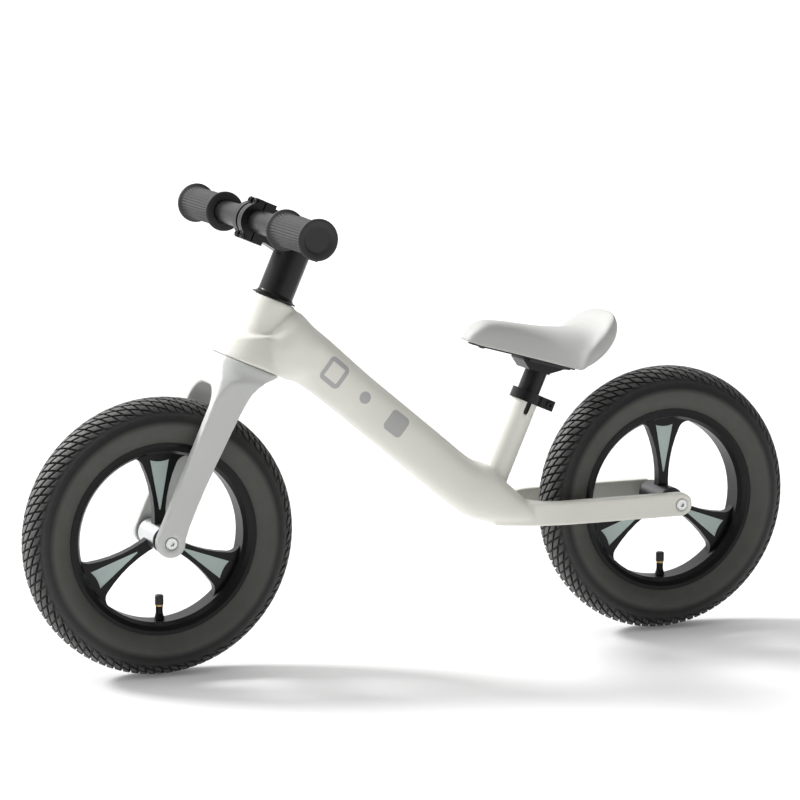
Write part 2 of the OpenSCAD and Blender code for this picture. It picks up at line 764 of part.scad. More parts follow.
module handlebar() {
    color(SATIN_BLACK) on_steering() translate([-stem_reach, 0, bar_z]) rotate([90, 0, 0])
        translate([0, 0, -bar_len / 2]) ring(bar_r, bar_r - tube_wall_t, bar_len);
}

// A spool-shaped grip along +Z, closed and dished at its outer end
module grip() {
    flange = 4.5;
    cap = 5;
    waist = grip_len - 2 * flange;
    difference() {
        rotate_extrude() polygon([
            [0, 0], each arc([grip_flange_r - 2, 2], 2, 270, 360), [grip_flange_r - 0.4, flange],
            [grip_waist_r + 1, flange + 4], [grip_waist_r, flange + 12], [grip_waist_r + 0.8, flange + waist / 2],
            [grip_waist_r, flange + waist - 12], [grip_waist_r + 1, flange + waist - 4],
            [grip_flange_r - 0.4, flange + waist], each arc([grip_flange_r - 2, grip_len - 2], 2, 0, 90),
            [grip_flange_r - 6, grip_len - 0.6], [grip_flange_r - 9, grip_len - 2], [0, grip_len - 2]
        ]);
        translate([0, 0, -OVER]) cylinder(r = bar_r, h = grip_len - cap + OVER);
    }
}

module grip_left() {
    color(RUBBER) on_steering() translate([-stem_reach, -bar_len / 2 - 5 + grip_len, bar_z]) rotate([90, 0, 0]) grip();
}

module grip_right() {
    color(RUBBER) on_steering() translate([-stem_reach, bar_len / 2 + 5 - grip_len, bar_z]) rotate([-90, 0, 0]) grip();
}

// --- Axles ---

// Solid axle between the inner faces of a fork or of the stays
module axle(inner) {
    color(STEEL) difference() {
        translate([0, -inner, 0]) along_y() cylinder(r = axle_r, h = 2 * inner);
        both_sides() translate([0, inner - axle_bolt_grip - 2, 0]) along_y() cylinder(r = axle_bolt_r, h = FAR / 8);
    }
}

// Spacers from the tips to the bearings, and the long one between the bearings
module axle_spacers(inner) {
    color(SATIN_BLACK) {
        both_sides() translate([0, hub_half + SLIP, 0]) along_y() ring(bearing_land_r, axle_r, inner - hub_half - SLIP);
        translate([0, -hub_half + bearing_w + SLIP, 0]) along_y() ring(bearing_land_r, axle_r, 2 * (hub_half - bearing_w - SLIP));
    }
}

module axle_bolts(outer, inner) {
    seat = outer - counterbore_depth;
    color(PALE_ALLOY) both_sides() translate([0, seat, 0]) along_y()
        socket_bolt(axle_bolt_r, seat - inner + axle_bolt_grip, axle_head_r, axle_head_h, m6_key);
}

// --- Wheels ---

// One window between two spokes, the first lying along +X. It runs a little into the rim
function window() = let (
    bite = 0.3,
    step = 360 / spoke_count,
    left = [flank_u, spoke_half_w + spoke_flank_r],
    right = turn([flank_u, -spoke_half_w - spoke_flank_r], step),
    reach = rim_r + bite - window_corner_r,
    dist = norm(left),
    near = spoke_flank_r - window_corner_r,
    // centre of the corner round between the rim and the first spoke's flank
    lean = acos((reach * reach + dist * dist - near * near) / (2 * reach * dist)),
    c1 = polar(reach, heading(left) - lean),
    c2 = polar(reach, step - heading(c1)),
    flank = heading(c1 - left),
    foot = -96
) [
    each arc(left, spoke_flank_r, foot, flank),
    each arc(c1, window_corner_r, flank, heading(c1)),
    each arc([0, 0], rim_r + 3 * bite, heading(c1), heading(c2)),
    each arc(c2, window_corner_r, heading(c2), step - flank),
    each arc(right, spoke_flank_r, step - flank, step - foot)
];

module spoke_web() {
    difference() {
        circle(r = rim_r + 2);
        for (i = [0 : spoke_count - 1]) rotate(i * 360 / spoke_count) polygon(window());
        circle(r = hub_r);
    }
}

// Long triangle with a hollowed outer end
module panel_outline() {
    bite = 33;
    difference() {
        polygon([[panel_apex, -0.7], [panel_end, -panel_half_w], [panel_end, panel_half_w], [panel_apex, 0.7]]);
        translate([panel_end + bite - 1.7, 0]) circle(r = bite);
    }
}

module spoke_places() {
    for (i = [0 : spoke_count - 1]) rotate(90 + i * 360 / spoke_count) children();
}

function rim_section() = [
    [rim_r, -12.2], [rim_r + 3.5, 2.5 - rim_half_w], [seat_r - 0.5, -rim_half_w], [flange_r, -rim_half_w],
    [flange_r, flange_lip - rim_half_w], [seat_r, flange_lip + 1 - rim_half_w], [seat_r, -10.5], [seat_r - well_depth, -7],
    [seat_r - well_depth, 7], [seat_r, 10.5], [seat_r, rim_half_w - flange_lip - 1], [flange_r, rim_half_w - flange_lip],
    [flange_r, rim_half_w], [seat_r - 0.5, rim_half_w], [rim_r + 3.5, rim_half_w - 2.5], [rim_r, 12.2]
];

// Wheel pieces are drawn about z and turned so that z runs across the bike and +Y of the drawing is up
module upright() {
    rotate([90, 0, 0]) children();
}

module cast_wheel() {
    valve_hole_r = valve_stem_r + SLIP;
    color(GLOSS_BLACK) upright() difference() {
        union() {
            rotate_extrude() polygon(rim_section());
            translate([0, 0, -spoke_t / 2]) linear_extrude(spoke_t) rotate(90) spoke_web();
        }
        for (s = [0, 1]) mirror([0, 0, s]) translate([0, 0, spoke_t / 2 - panel_t])
            linear_extrude(panel_t + OVER) spoke_places() panel_outline();
        rotate([90, 0, 0]) cylinder(r = valve_hole_r, h = tyre_r);
    }
}

module spoke_panels() {
    color(SAGE) upright() for (s = [0, 1]) mirror([0, 0, s])
        translate([0, 0, spoke_t / 2 - panel_t]) linear_extrude(panel_t - 0.2) spoke_places() panel_outline();
}

module hub() {
    color(PALE_ALLOY) upright() difference() {
        translate([0, 0, -hub_half]) cylinder(r = hub_r, h = 2 * hub_half);
        translate([0, 0, -hub_half - OVER]) cylinder(r = bearing_od_r - 2, h = 2 * (hub_half + OVER));
        for (s = [0, 1]) mirror([0, 0, s]) translate([0, 0, hub_half - bearing_w]) cylinder(r = bearing_od_r, h = bearing_w + OVER);
    }
}

module hub_bearings() {
    color(STEEL) upright() for (s = [0, 1]) mirror([0, 0, s]) translate([0, 0, hub_half - bearing_w])
        cartridge(bearing_od_r, axle_r + RUN_FIT, bearing_w, 1.6);
}

module dust_caps() {
    color(SATIN_BLACK) upright() for (s = [0, 1]) mirror([0, 0, s]) translate([0, 0, hub_half]) rotate_extrude() polygon([
        [bearing_land_r + 1.4, 0], [hub_r - 0.2, 0], [hub_r - 0.2, cap_w - 1], [hub_r - 1.2, cap_w],
        [bearing_land_r + 4.4, cap_w], [bearing_land_r + 4.0, cap_w - 0.8], [bearing_land_r + 1.4, cap_w - 0.8]
    ]);
}

// Round carcass with shallow tread grooves, cut away where it sits on the rim
module tyre() {
    groove = 1.6;
    color(RUBBER) upright() rotate_extrude() difference() {
        translate([section_z, 0]) circle(r = tyre_section_r);
        translate([section_z, 0]) circle(r = tyre_section_r - tyre_wall);
        translate([0, -FAR / 2]) square([seat_r, FAR]);
        translate([0, -rim_half_w]) square([flange_r, 2 * rim_half_w]);
        for (a = [-42, -14, 14, 42]) translate([section_z, 0] + polar(tyre_section_r, a)) rotate(a)
            square([2 * groove, 2.2], center = true);
    }
    color(RUBBER) upright() bead_feet();
}

// The beads that fill the corners inside the rim's flanges
module bead_feet() {
    edge = rim_half_w - 0.5;
    for (s = [0, 1]) mirror([0, 0, s]) rotate_extrude() polygon([
        [seat_r, 11.5], [seat_r, rim_half_w - flange_lip - 1], [flange_r, rim_half_w - flange_lip], [flange_r, edge],
        [seat_r + 8, edge], [seat_r + 3, 13]
    ]);
}

module inner_tube() {
    tube_r = tyre_section_r - tyre_wall - tube_gap;
    color(RUBBER) upright() rotate_extrude() translate([section_z + 0.4, 0]) difference() {
        circle(r = tube_r);
        circle(r = tube_r - tube_wall);
    }
}

// The valve stands in from the rim towards the hub, below the axle
module valve() {
    collar = 8;
    color(GLOSS_BLACK) upright() rotate([90, 0, 0]) {
        translate([0, 0, valve_tip]) cylinder(r = valve_r, h = collar);
        translate([0, 0, valve_tip + collar]) cylinder(r1 = valve_r, r2 = 5.8, h = valve_len - collar - 1);
        translate([0, 0, valve_tip + collar]) cylinder(r = valve_stem_r, h = seat_r - valve_tip - collar);
    }
    color(BRASS) upright() rotate([90, 0, 0]) translate([0, 0, valve_tip - nut_h]) cylinder(r = 4.3, h = nut_h);
}

module valve_cap() {
    chamfer = 1.2;
    color(GLOSS_BLACK) upright() rotate([90, 0, 0]) translate([0, 0, valve_tip - nut_h - valve_cap_len]) {
        cylinder(r1 = valve_r, r2 = valve_cap_r, h = chamfer);
        translate([0, 0, chamfer]) cylinder(r = valve_cap_r, h = valve_cap_len - chamfer);
    }
}

frame();
upper_bearing();
lower_bearing();
seat_clamp();
seat_clamp_bolt();
seat_post();
seat_post_plug();
saddle_bracket();
saddle_base();
saddle_screws();
saddle_cover();
fork();
steerer_tube();
crown_race();
headset_cover();
stem();
stem_faceplate();
faceplate_bolts();
stem_pinch_bolts();
star_nut();
stem_top_cap();
top_cap_bolt();
handlebar();
grip_left();
grip_right();
on_front_axle() axle(leg_inner);  // front_axle
on_front_axle() axle_spacers(leg_inner);  // front_axle_spacers
on_front_axle() axle_bolts(fork_span / 2, leg_inner);  // front_axle_bolts
on_front_axle() cast_wheel();  // front_wheel
on_front_axle() hub();  // front_hub
on_front_axle() spoke_panels();  // front_spoke_panels
on_front_axle() hub_bearings();  // front_bearings
on_front_axle() dust_caps();  // front_dust_caps
on_front_axle() tyre();  // front_tyre
on_front_axle() inner_tube();  // front_inner_tube
on_front_axle() valve();  // front_valve
on_front_axle() valve_cap();  // front_valve_cap
on_rear_axle() axle(stay_inner);  // rear_axle
on_rear_axle() axle_spacers(stay_inner);  // rear_axle_spacers
on_rear_axle() axle_bolts(stay_span / 2, stay_inner);  // rear_axle_bolts
on_rear_axle() cast_wheel();  // rear_wheel
on_rear_axle() hub();  // rear_hub
on_rear_axle() spoke_panels();  // rear_spoke_panels
on_rear_axle() hub_bearings();  // rear_bearings
on_rear_axle() dust_caps();  // rear_dust_caps
on_rear_axle() tyre();  // rear_tyre
on_rear_axle() inner_tube();  // rear_inner_tube
on_rear_axle() valve();  // rear_valve
on_rear_axle() valve_cap();  // rear_valve_cap
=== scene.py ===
"""Looks of a child's balance bike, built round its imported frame.

The cast frame and fork, the saddle pad, the tyres and the grips are made here
as finer pieces that stand for their plain CAD nodes. Every other CAD node
keeps its mesh and gets a finish. Lengths are in metres.
"""

import logging
import math
from collections.abc import Callable, Iterable, Sequence
from dataclasses import dataclass
from enum import Enum
from functools import cached_property
from typing import Any

import bmesh
import bpy
import numpy as np
from mathutils import Matrix, Vector


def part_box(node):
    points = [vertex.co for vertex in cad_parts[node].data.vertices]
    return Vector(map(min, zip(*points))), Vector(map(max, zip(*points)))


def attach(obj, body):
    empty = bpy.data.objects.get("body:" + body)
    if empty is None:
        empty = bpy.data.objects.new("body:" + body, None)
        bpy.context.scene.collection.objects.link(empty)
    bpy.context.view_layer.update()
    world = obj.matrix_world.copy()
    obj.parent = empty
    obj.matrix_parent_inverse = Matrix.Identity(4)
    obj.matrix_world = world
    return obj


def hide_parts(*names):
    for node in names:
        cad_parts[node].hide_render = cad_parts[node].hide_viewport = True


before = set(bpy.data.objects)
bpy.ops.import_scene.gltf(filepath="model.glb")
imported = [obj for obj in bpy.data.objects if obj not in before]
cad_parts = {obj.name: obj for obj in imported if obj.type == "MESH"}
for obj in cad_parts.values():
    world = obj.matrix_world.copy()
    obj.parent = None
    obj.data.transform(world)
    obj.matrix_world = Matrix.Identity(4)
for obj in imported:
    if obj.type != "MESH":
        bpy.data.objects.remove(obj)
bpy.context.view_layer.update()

LOG = logging.getLogger("balance_bike")
CALM_PASSES = 60
WELD = 0.00001
TYRE_SECTION = 0.0276

Colour = tuple[float, float, float]
Point = tuple[float, float]
Place = tuple[float, float, float]
Moves = Callable[[np.ndarray], np.ndarray]


# ---- shader maths ----

class Wire:
    """A shader socket whose operators add Math nodes."""

    def __init__(self, shader: "Shader", socket: bpy.types.NodeSocket) -> None:
        """Wraps one output socket of a shader."""
        self.shader = shader
        self.socket = socket

    def _math(self, operation: str, *values: Any, clamp: bool = False) -> "Wire":
        """Adds one Math node.

        Args:
            operation: the Math node's operation.
            values: its operands, wires or numbers.
            clamp: whether the result is held between 0 and 1.

        Returns:
            The node's result.
        """
        settings = {"operation": operation, "use_clamp": clamp}
        return self.shader.node("ShaderNodeMath", settings, dict(enumerate(values)))

    def __add__(self, other: Any) -> "Wire":
        """Sum."""
        return self._math("ADD", self, other)

    def __radd__(self, other: Any) -> "Wire":
        """Sum, from the right."""
        return self._math("ADD", other, self)

    def __sub__(self, other: Any) -> "Wire":
        """Difference."""
        return self._math("SUBTRACT", self, other)

    def __rsub__(self, other: Any) -> "Wire":
        """Difference, from the right."""
        return self._math("SUBTRACT", other, self)

    def __mul__(self, other: Any) -> "Wire":
        """Product."""
        return self._math("MULTIPLY", self, other)

    def __rmul__(self, other: Any) -> "Wire":
        """Product, from the right."""
        return self._math("MULTIPLY", other, self)

    def __abs__(self) -> "Wire":
        """Size without sign."""
        return self._math("ABSOLUTE", self)

    def larger(self, other: Any) -> "Wire":
        """The larger of two values."""
        return self._math("MAXIMUM", self, other)

    def sine(self) -> "Wire":
        """Sine of an angle in radians."""
        return self._math("SINE", self)

    def root(self) -> "Wire":
        """Square root."""
        return self._math("SQRT", self)

    def ramp(self, low: float, high: float) -> "Wire":
        """0 at low, 1 at high, straight between them and clamped."""
        return self._math("MULTIPLY", self - low, 1 / (high - low), clamp=True)


class Shader:
    """A material's node tree with one Principled shader."""

    def __init__(self, name: str) -> None:
        """Starts an empty material."""
        self.material = bpy.data.materials.new(name)
        self.material.use_nodes = True
        self.tree = self.material.node_tree
        self.tree.nodes.clear()
        self.body = self.tree.nodes.new("ShaderNodeBsdfPrincipled")
        output = self.tree.nodes.new("ShaderNodeOutputMaterial")
        self.tree.links.new(self.body.outputs["BSDF"], output.inputs["Surface"])

    def node(self, kind: str, settings: dict[str, Any] | None = None,
             inputs: dict[Any, Any] | None = None, output: Any = 0) -> Wire:
        """Adds any node.

        Args:
            kind: the node's type.
            settings: its properties.
            inputs: values or wires by socket name or place.
            output: name or place of the wanted output.

        Returns:
            The chosen output.
        """
        made = self.tree.nodes.new(kind)
        for key, value in (settings or {}).items():
            setattr(made, key, value)
        for key, value in (inputs or {}).items():
            self._feed(made.inputs[key], value)
        return Wire(self, made.outputs[output])

    def _feed(self, socket: bpy.types.NodeSocket, value: Any) -> None:
        """Links a wire to a socket, or sets the socket's own value."""
        if isinstance(value, Wire):
            self.tree.links.new(value.socket, socket)
        elif isinstance(value, tuple) and len(value) == 3 and socket.type == "RGBA":
            socket.default_value = (*value, 1)
        else:
            socket.default_value = value

    def set(self, **values: Any) -> None:
        """Sets the Principled shader's sockets, named with _ for spaces."""
        for key, value in values.items():
            self._feed(self.body.inputs[key.replace("_", " ")], value)

    def place(self) -> Wire:
        """Position on the piece, in its own frame."""
        return self.node("ShaderNodeTexCoord", output="Object")

    def axes(self, vector: Wire) -> tuple[Wire, Wire, Wire]:
        """The three parts of a vector."""
        made = self.tree.nodes.new("ShaderNodeSeparateXYZ")
        self._feed(made.inputs[0], vector)
        return tuple(Wire(self, made.outputs[i]) for i in range(3))

    def stretched(self, vector: Wire, by: Place) -> Wire:
        """A vector with each part scaled."""
        return self.node("ShaderNodeVectorMath", {"operation": "MULTIPLY"}, {0: vector, 1: by})

    def noise(self, size: float, detail: float = 2, vector: Wire | None = None) -> Wire:
        """Smooth noise.

        Args:
            size: size of its patches in metres.
            detail: finer layers added.
            vector: where it is read, or the place on the piece.

        Returns:
            A value near 0.5.
        """
        at = self.place() if vector is None else vector
        return self.node("ShaderNodeTexNoise", {"normalize": True},
                         {"Vector": at, "Scale": 1 / size, "Detail": detail})

    def cells(self, size: float, feature: str = "F1") -> Wire:
        """Distance to the nearest point of a scattered grid of that size."""
        return self.node("ShaderNodeTexVoronoi", {"feature": feature},
                         {"Vector": self.place(), "Scale": 1 / size}, output="Distance")

    def mix(self, share: Any, a: Any, b: Any) -> Wire:
        """Colour between a and b."""
        return self.node("ShaderNodeMix", {"data_type": "RGBA"}, {0: share, 6: a, 7: b}, output=2)

    def tinted(self, share: Any, colour: Colour, low: float, high: float) -> Wire:
        """A colour between two shades of its own."""
        return self.mix(share, shade(colour, low), shade(colour, high))

    def bump(self, height: Any, depth: float, strength: float = 1.0) -> Wire:
        """A normal bumped by a height between 0 and 1, that deep in metres."""
        return self.node("ShaderNodeBump", None,
                         {"Height": height, "Distance": depth, "Strength": strength})


class Sky(Shader):
    """A world's node tree, fed through its Background node."""

    def __init__(self, name: str) -> None:
        """Starts a plain white world."""
        self.world = bpy.data.worlds.new(name)
        self.world.use_nodes = True
        self.tree = self.world.node_tree
        self.body = self.tree.nodes["Background"]
        self.set(Color=(1.0, 1.0, 1.0))


def eased(value: Any, low: float, high: float) -> Any:
    """0 up to low, 1 from high, and a smooth step between them, for numbers or arrays."""
    t = np.clip((value - low) / (high - low), 0.0, 1.0)
    return t * t * (3 - 2 * t)


def within(value: Any, start: float, full: float, leave: float, end: float) -> Any:
    """1 between full and leave, eased down to 0 at start and at end."""
    return eased(value, start, full) * (1 - eased(value, leave, end))


def shade(colour: Colour, by: float) -> Colour:
    """A colour made lighter or darker by a factor."""
    return tuple(min(1.0, c * by) for c in colour)


# ---- finishes ----

class Shape(Enum):
    """Plain shapes that a grey motif can have."""
    RING = "ring"
    DOT = "dot"
    SOLID = "solid"


@dataclass(frozen=True)
class Motif:
    """One plain shape printed on the beam's sides, seen from the side.

    The band is a ring's width as a share of its half size.
    """
    shape: Shape
    centre: Point
    half: float
    corner: float
    band: float = 0.36
    edge: float = 0.00025

    def mask(self, across: Wire, up: Wire, lean: float) -> Wire:
        """Where the motif is.

        Args:
            across: the surface's x.
            up: the surface's z.
            lean: angle of the beam, in radians.

        Returns:
            1 on the motif and 0 off it.
        """
        x = across - self.centre[0]
        z = up - self.centre[1]
        u = abs(x * math.cos(lean) + z * math.sin(lean))
        v = abs(z * math.cos(lean) - x * math.sin(lean))
        inner = self.half - self.corner
        du = (u - inner).larger(0)
        dv = (v - inner).larger(0)
        away = (du * du + dv * dv).root() - self.corner
        inside = 1 - away.ramp(-self.edge, self.edge)
        if self.shape is Shape.RING:
            inside = inside * (away + self.half * self.band).ramp(-self.edge, self.edge)
        return inside


@dataclass(frozen=True)
class PowderCoat:
    """Satin powder coat with a soft orange-peel surface."""
    colour: Colour
    roughness: float = 0.42
    motif_colour: Colour = (0.46, 0.465, 0.455)
    motifs: tuple[Motif, ...] = ()
    lean: float = 0.0

    def build(self, name: str) -> bpy.types.Material:
        """Makes the material."""
        s = Shader(name)
        tone = s.noise(0.07, 3).ramp(0.35, 0.65)
        base = s.tinted(tone, self.colour, 0.975, 1.02)
        specks = s.cells(0.0016).ramp(0.10, 0.05) * 0.05
        base = s.mix(specks, base, shade(self.colour, 0.8))
        rough = self.roughness + (s.noise(0.03, 2) - 0.5) * 0.08
        if self.motifs:
            x, _, z = s.axes(s.place())
            print_on = self.motifs[0].mask(x, z, self.lean)
            for motif in self.motifs[1:]:
                print_on = print_on.larger(motif.mask(x, z, self.lean))
            ink = s.tinted(s.noise(0.012, 2), self.motif_colour, 0.96, 1.0)
            base = s.mix(print_on, base, ink)
            rough = rough + print_on * 0.06
        peel = s.noise(0.0022, 2) * 0.6 + s.noise(0.0007, 1) * 0.4
        s.set(Base_Color=base, Roughness=rough, Normal=s.bump(peel, 0.00006),
              Coat_Weight=0.25, Coat_Roughness=0.25)
        return s.material


@dataclass(frozen=True)
class Metal:
    """Bare, anodised or blackened metal, with an optional turned grain."""
    colour: Colour
    roughness: float
    metallic: float = 1.0
    grain: Place = (1.0, 1.0, 1.0)
    grain_size: float = 0.0009
    depth: float = 0.00002
    specular: float = 0.5

    def build(self, name: str) -> bpy.types.Material:
        """Makes the material."""
        s = Shader(name)
        lines = s.noise(self.grain_size, 2, s.stretched(s.place(), self.grain))
        cloud = s.noise(0.012, 3)
        base = s.tinted(cloud, self.colour, 0.86, 1.1)
        rough = self.roughness + (cloud - 0.5) * 0.12 + (lines - 0.5) * 0.10
        s.set(Base_Color=base, Metallic=self.metallic, Roughness=rough,
              Normal=s.bump(lines, self.depth), Specular_IOR_Level=self.specular)
        return s.material


@dataclass(frozen=True)
class Moulded:
    """Moulded plastic or rubber with a spark-eroded or polished skin."""
    colour: Colour
    roughness: float
    texture_size: float = 0.0006
    depth: float = 0.00003
    variation: float = 0.06
    specular: float = 0.5

    def build(self, name: str) -> bpy.types.Material:
        """Makes the material."""
        s = Shader(name)
        flow = s.noise(0.02, 3)
        base = s.tinted(flow, self.colour, 1 - self.variation, 1 + self.variation)
        skin = s.noise(self.texture_size, 1) * 0.7 + s.cells(self.texture_size * 1.7) * 0.3
        rough = self.roughness + (s.noise(0.008, 2) - 0.5) * 0.10
        s.set(Base_Color=base, Roughness=rough, Normal=s.bump(skin, self.depth),
              Specular_IOR_Level=self.specular)
        return s.material


@dataclass(frozen=True)
class TyreRubber:
    """Tyre rubber: a black tread whose block tops near its middle are lightened by dust and a painted
    sheen, and a smooth dark grey sidewall.
    """
    centre: Point
    tread_edge: float
    outer: float
    sidewall: Colour = (0.070, 0.071, 0.062)
    tread: Colour = (0.004, 0.004, 0.004)
    # pale grey for the block tops: partly dust, partly a painted sheen where light catches them
    dust_and_sheen: Colour = (0.17, 0.17, 0.165)
    dust_and_sheen_to: float = 0.011
    dust_and_sheen_gone_from: float = 0.027
    ring_pitch: float = 0.0011

    def build(self, name: str) -> bpy.types.Material:
        """Makes the material."""
        s = Shader(name)
        x, y, z = s.axes(s.place())
        dx = x - self.centre[0]
        dz = z - self.centre[1]
        radius = (dx * dx + dz * dz).root()
        out = radius - self.outer + TYRE_SECTION
        from_core = (out * out + y * y).root()
        on_tread = radius.ramp(self.tread_edge - 0.004, self.tread_edge + 0.002)
        tops = from_core.ramp(TYRE_SECTION - 0.00055, TYRE_SECTION - 0.0001) * on_tread
        crown = abs(y).ramp(self.dust_and_sheen_gone_from, self.dust_and_sheen_to)
        # block tops near the tread's middle are lightened: partly dust, partly painted sheen
        dust_and_sheen_mask = tops * crown * (s.noise(0.004, 3).ramp(0.25, 0.7) * 0.5 + 0.5)
        wall = s.tinted(s.noise(0.02, 3), self.sidewall, 0.85, 1.15)
        base = s.mix(dust_and_sheen_mask, s.mix(on_tread, wall, self.tread), self.dust_and_sheen)
        rings = ((radius * (2 * math.pi / self.ring_pitch)).sine() * 0.5 + 0.5) * (1 - on_tread) * 0.35
        skin = rings + s.noise(0.0006, 2) * 0.65
        rough = 0.62 - on_tread * 0.02 + (s.noise(0.006, 2) - 0.5) * 0.12
        s.set(Base_Color=base, Roughness=rough, Normal=s.bump(skin, 0.00005))
        return s.material


@dataclass(frozen=True)
class PadSkin:
    """Matt grained skin of a soft saddle."""
    colour: Colour
    grain: float = 0.0011

    def build(self, name: str) -> bpy.types.Material:
        """Makes the material."""
        s = Shader(name)
        pebble = s.cells(self.grain, "SMOOTH_F1")
        crease = s.noise(0.0035, 3)
        tone = s.noise(0.03, 3)
        base = s.tinted(tone, self.colour, 0.97, 1.02)
        # painted shade: the hollows of the grain are darkened
        base = s.mix(pebble.ramp(0.35, 0.75) * 0.25, base, shade(self.colour, 0.82))
        height = (1 - pebble) * 0.75 + crease * 0.25
        rough = 0.58 + (s.noise(0.009, 2) - 0.5) * 0.10
        s.set(Base_Color=base, Roughness=rough, Normal=s.bump(height, 0.00012, 0.7))
        return s.material


# ---- mesh making ----

def new_piece(name: str, verts: np.ndarray, faces: Iterable[Sequence[int]],
              material: bpy.types.Material) -> bpy.types.Object:
    """Makes a smooth-shaded object.

    Args:
        name: the piece's name.
        verts: its points, in the bike's frame.
        faces: loops of point numbers.
        material: its finish.

    Returns:
        The object, in the scene.
    """
    mesh = bpy.data.meshes.new(name)
    mesh.from_pydata(verts.tolist(), [], [list(face) for face in faces])
    mesh.validate()
    mesh.update()
    for polygon in mesh.polygons:
        polygon.use_smooth = True
    mesh.materials.append(material)
    made = bpy.data.objects.new(name, mesh)
    bpy.context.scene.collection.objects.link(made)
    return made


def grid_faces(rows: int, columns: int, first: int = 0, wrap_rows: bool = False,
               wrap_columns: bool = False) -> list[tuple[int, ...]]:
    """Quads over a grid of points laid row by row.

    Args:
        rows: number of rows.
        columns: points in each row.
        first: number of the first point.
        wrap_rows: whether the last row joins the first.
        wrap_columns: whether each row closes on itself.

    Returns:
        The quads.
    """
    quads = []
    for i in range(rows if wrap_rows else rows - 1):
        for j in range(columns if wrap_columns else columns - 1):
            a, b = i % rows * columns, (i + 1) % rows * columns
            k = (j + 1) % columns
            quads.append((first + a + j, first + b + j, first + b + k, first + a + k))
    return quads


def turns(count: int) -> list[float]:
    """Angles of that many even steps round a circle."""
    return [2 * math.pi * k / count for k in range(count)]


def fan(first: int, count: int, tip: int, turn: int = 1) -> list[tuple[int, ...]]:
    """Triangles that close a grid's row to one point.

    Args:
        first: number of the row's first point.
        count: points in the row.
        tip: number of the point.
        turn: 1 after a grid's last row, -1 before its first.

    Returns:
        The triangles.
    """
    return [(first + k, tip, first + (k + 1) % count)[::turn] for k in range(count)]


def places(mesh: bpy.types.Mesh) -> np.ndarray:
    """The points of a mesh, one row each."""
    points = np.empty(len(mesh.vertices) * 3)
    mesh.vertices.foreach_get("co", points)
    return points.reshape(-1, 3)


def move(mesh: bpy.types.Mesh, points: np.ndarray) -> None:
    """Puts the points of a mesh at new places."""
    mesh.vertices.foreach_set("co", points.ravel())
    mesh.update()


def settled(made: bpy.types.Object) -> None:
    """Applies an object's modifiers for good."""
    graph = bpy.context.evaluated_depsgraph_get()
    mesh = bpy.data.meshes.new_from_object(made.evaluated_get(graph))
    made.modifiers.clear()
    old = made.data
    made.data = mesh
    bpy.data.meshes.remove(old)


def relax(mesh: bpy.types.Mesh, passes: int, share: float = 0.5,
          where: Moves | None = None) -> None:
    """Evens out a mesh by moving each point towards its neighbours.

    Args:
        mesh: the mesh, changed in place.
        passes: how many times.
        share: part of the way that a point moves each time.
        where: gives each point's own share of that from its place, or all of it.
    """
    count = len(mesh.vertices)
    points = places(mesh)
    edges = np.empty(len(mesh.edges) * 2, dtype=np.int64)
    mesh.edges.foreach_get("vertices", edges)
    a, b = edges.reshape(-1, 2).T
    degree = np.maximum(np.bincount(a, minlength=count) + np.bincount(b, minlength=count), 1)
    if where:
        share = share * where(points)[:, None]
    for _ in range(passes):
        total = np.stack([
            np.bincount(a, weights=points[b, k], minlength=count)
            + np.bincount(b, weights=points[a, k], minlength=count) for k in range(3)], axis=1)
        points = points + (total / degree[:, None] - points) * share
    move(mesh, points)


@dataclass(frozen=True)
class Casting:
    """A smooth skin over a CAD node with plain faces, with soft edges and fillets.

    It is rebuilt from cells of the voxel size and relaxed. Where calm says so it is relaxed
    further, and sculpt moves its points last.
    """
    node: str
    body: str
    slot: str
    voxel: float
    passes: int
    sculpt: Moves | None = None
    calm: Moves | None = None

    def build(self, name: str, material: bpy.types.Material) -> bpy.types.Object:
        """Makes the piece and puts it on its body.

        Args:
            name: the piece's name.
            material: its finish.

        Returns:
            The piece.
        """
        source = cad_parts[self.node]
        mesh = source.data.copy()
        mesh.transform(source.matrix_world)
        work = bmesh.new()
        work.from_mesh(mesh)
        bmesh.ops.remove_doubles(work, verts=work.verts, dist=WELD)
        work.to_mesh(mesh)
        work.free()
        mesh.materials.clear()
        made = bpy.data.objects.new(name, mesh)
        bpy.context.scene.collection.objects.link(made)
        shell = made.modifiers.new("skin", "REMESH")
        shell.mode = "VOXEL"
        shell.voxel_size = self.voxel
        shell.use_smooth_shade = True
        settled(made)
        relax(made.data, self.passes)
        if self.calm:
            relax(made.data, CALM_PASSES, where=self.calm)
        if self.sculpt:
            move(made.data, self.sculpt(places(made.data)))
        made.data.materials.append(material)
        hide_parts(self.node)
        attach(made, self.body)
        LOG.info("%s: %d faces", name, len(made.data.polygons))
        return made


# ---- the bike ----

@dataclass(frozen=True)
class Steering:
    """The steering axis: where it starts, and which way it runs."""
    foot: Point = (-0.28328, 0.14343)
    angle: float = math.radians(66.5)

    def matrix(self, back: float = 0.0, side: float = 0.0, up: float = 0.0) -> Matrix:
        """Frame of a place beside the axis.

        Args:
            back: distance behind the axis.
            side: distance towards the rider's right.
            up: distance up the axis from its foot.

        Returns:
            A matrix whose z runs up the axis and x points back.
        """
        turn = Matrix.Rotation(math.pi / 2 - self.angle, 4, "Y")
        foot = Matrix.Translation((self.foot[0], 0, self.foot[1]))
        return foot @ turn @ Matrix.Translation((back, side, up))


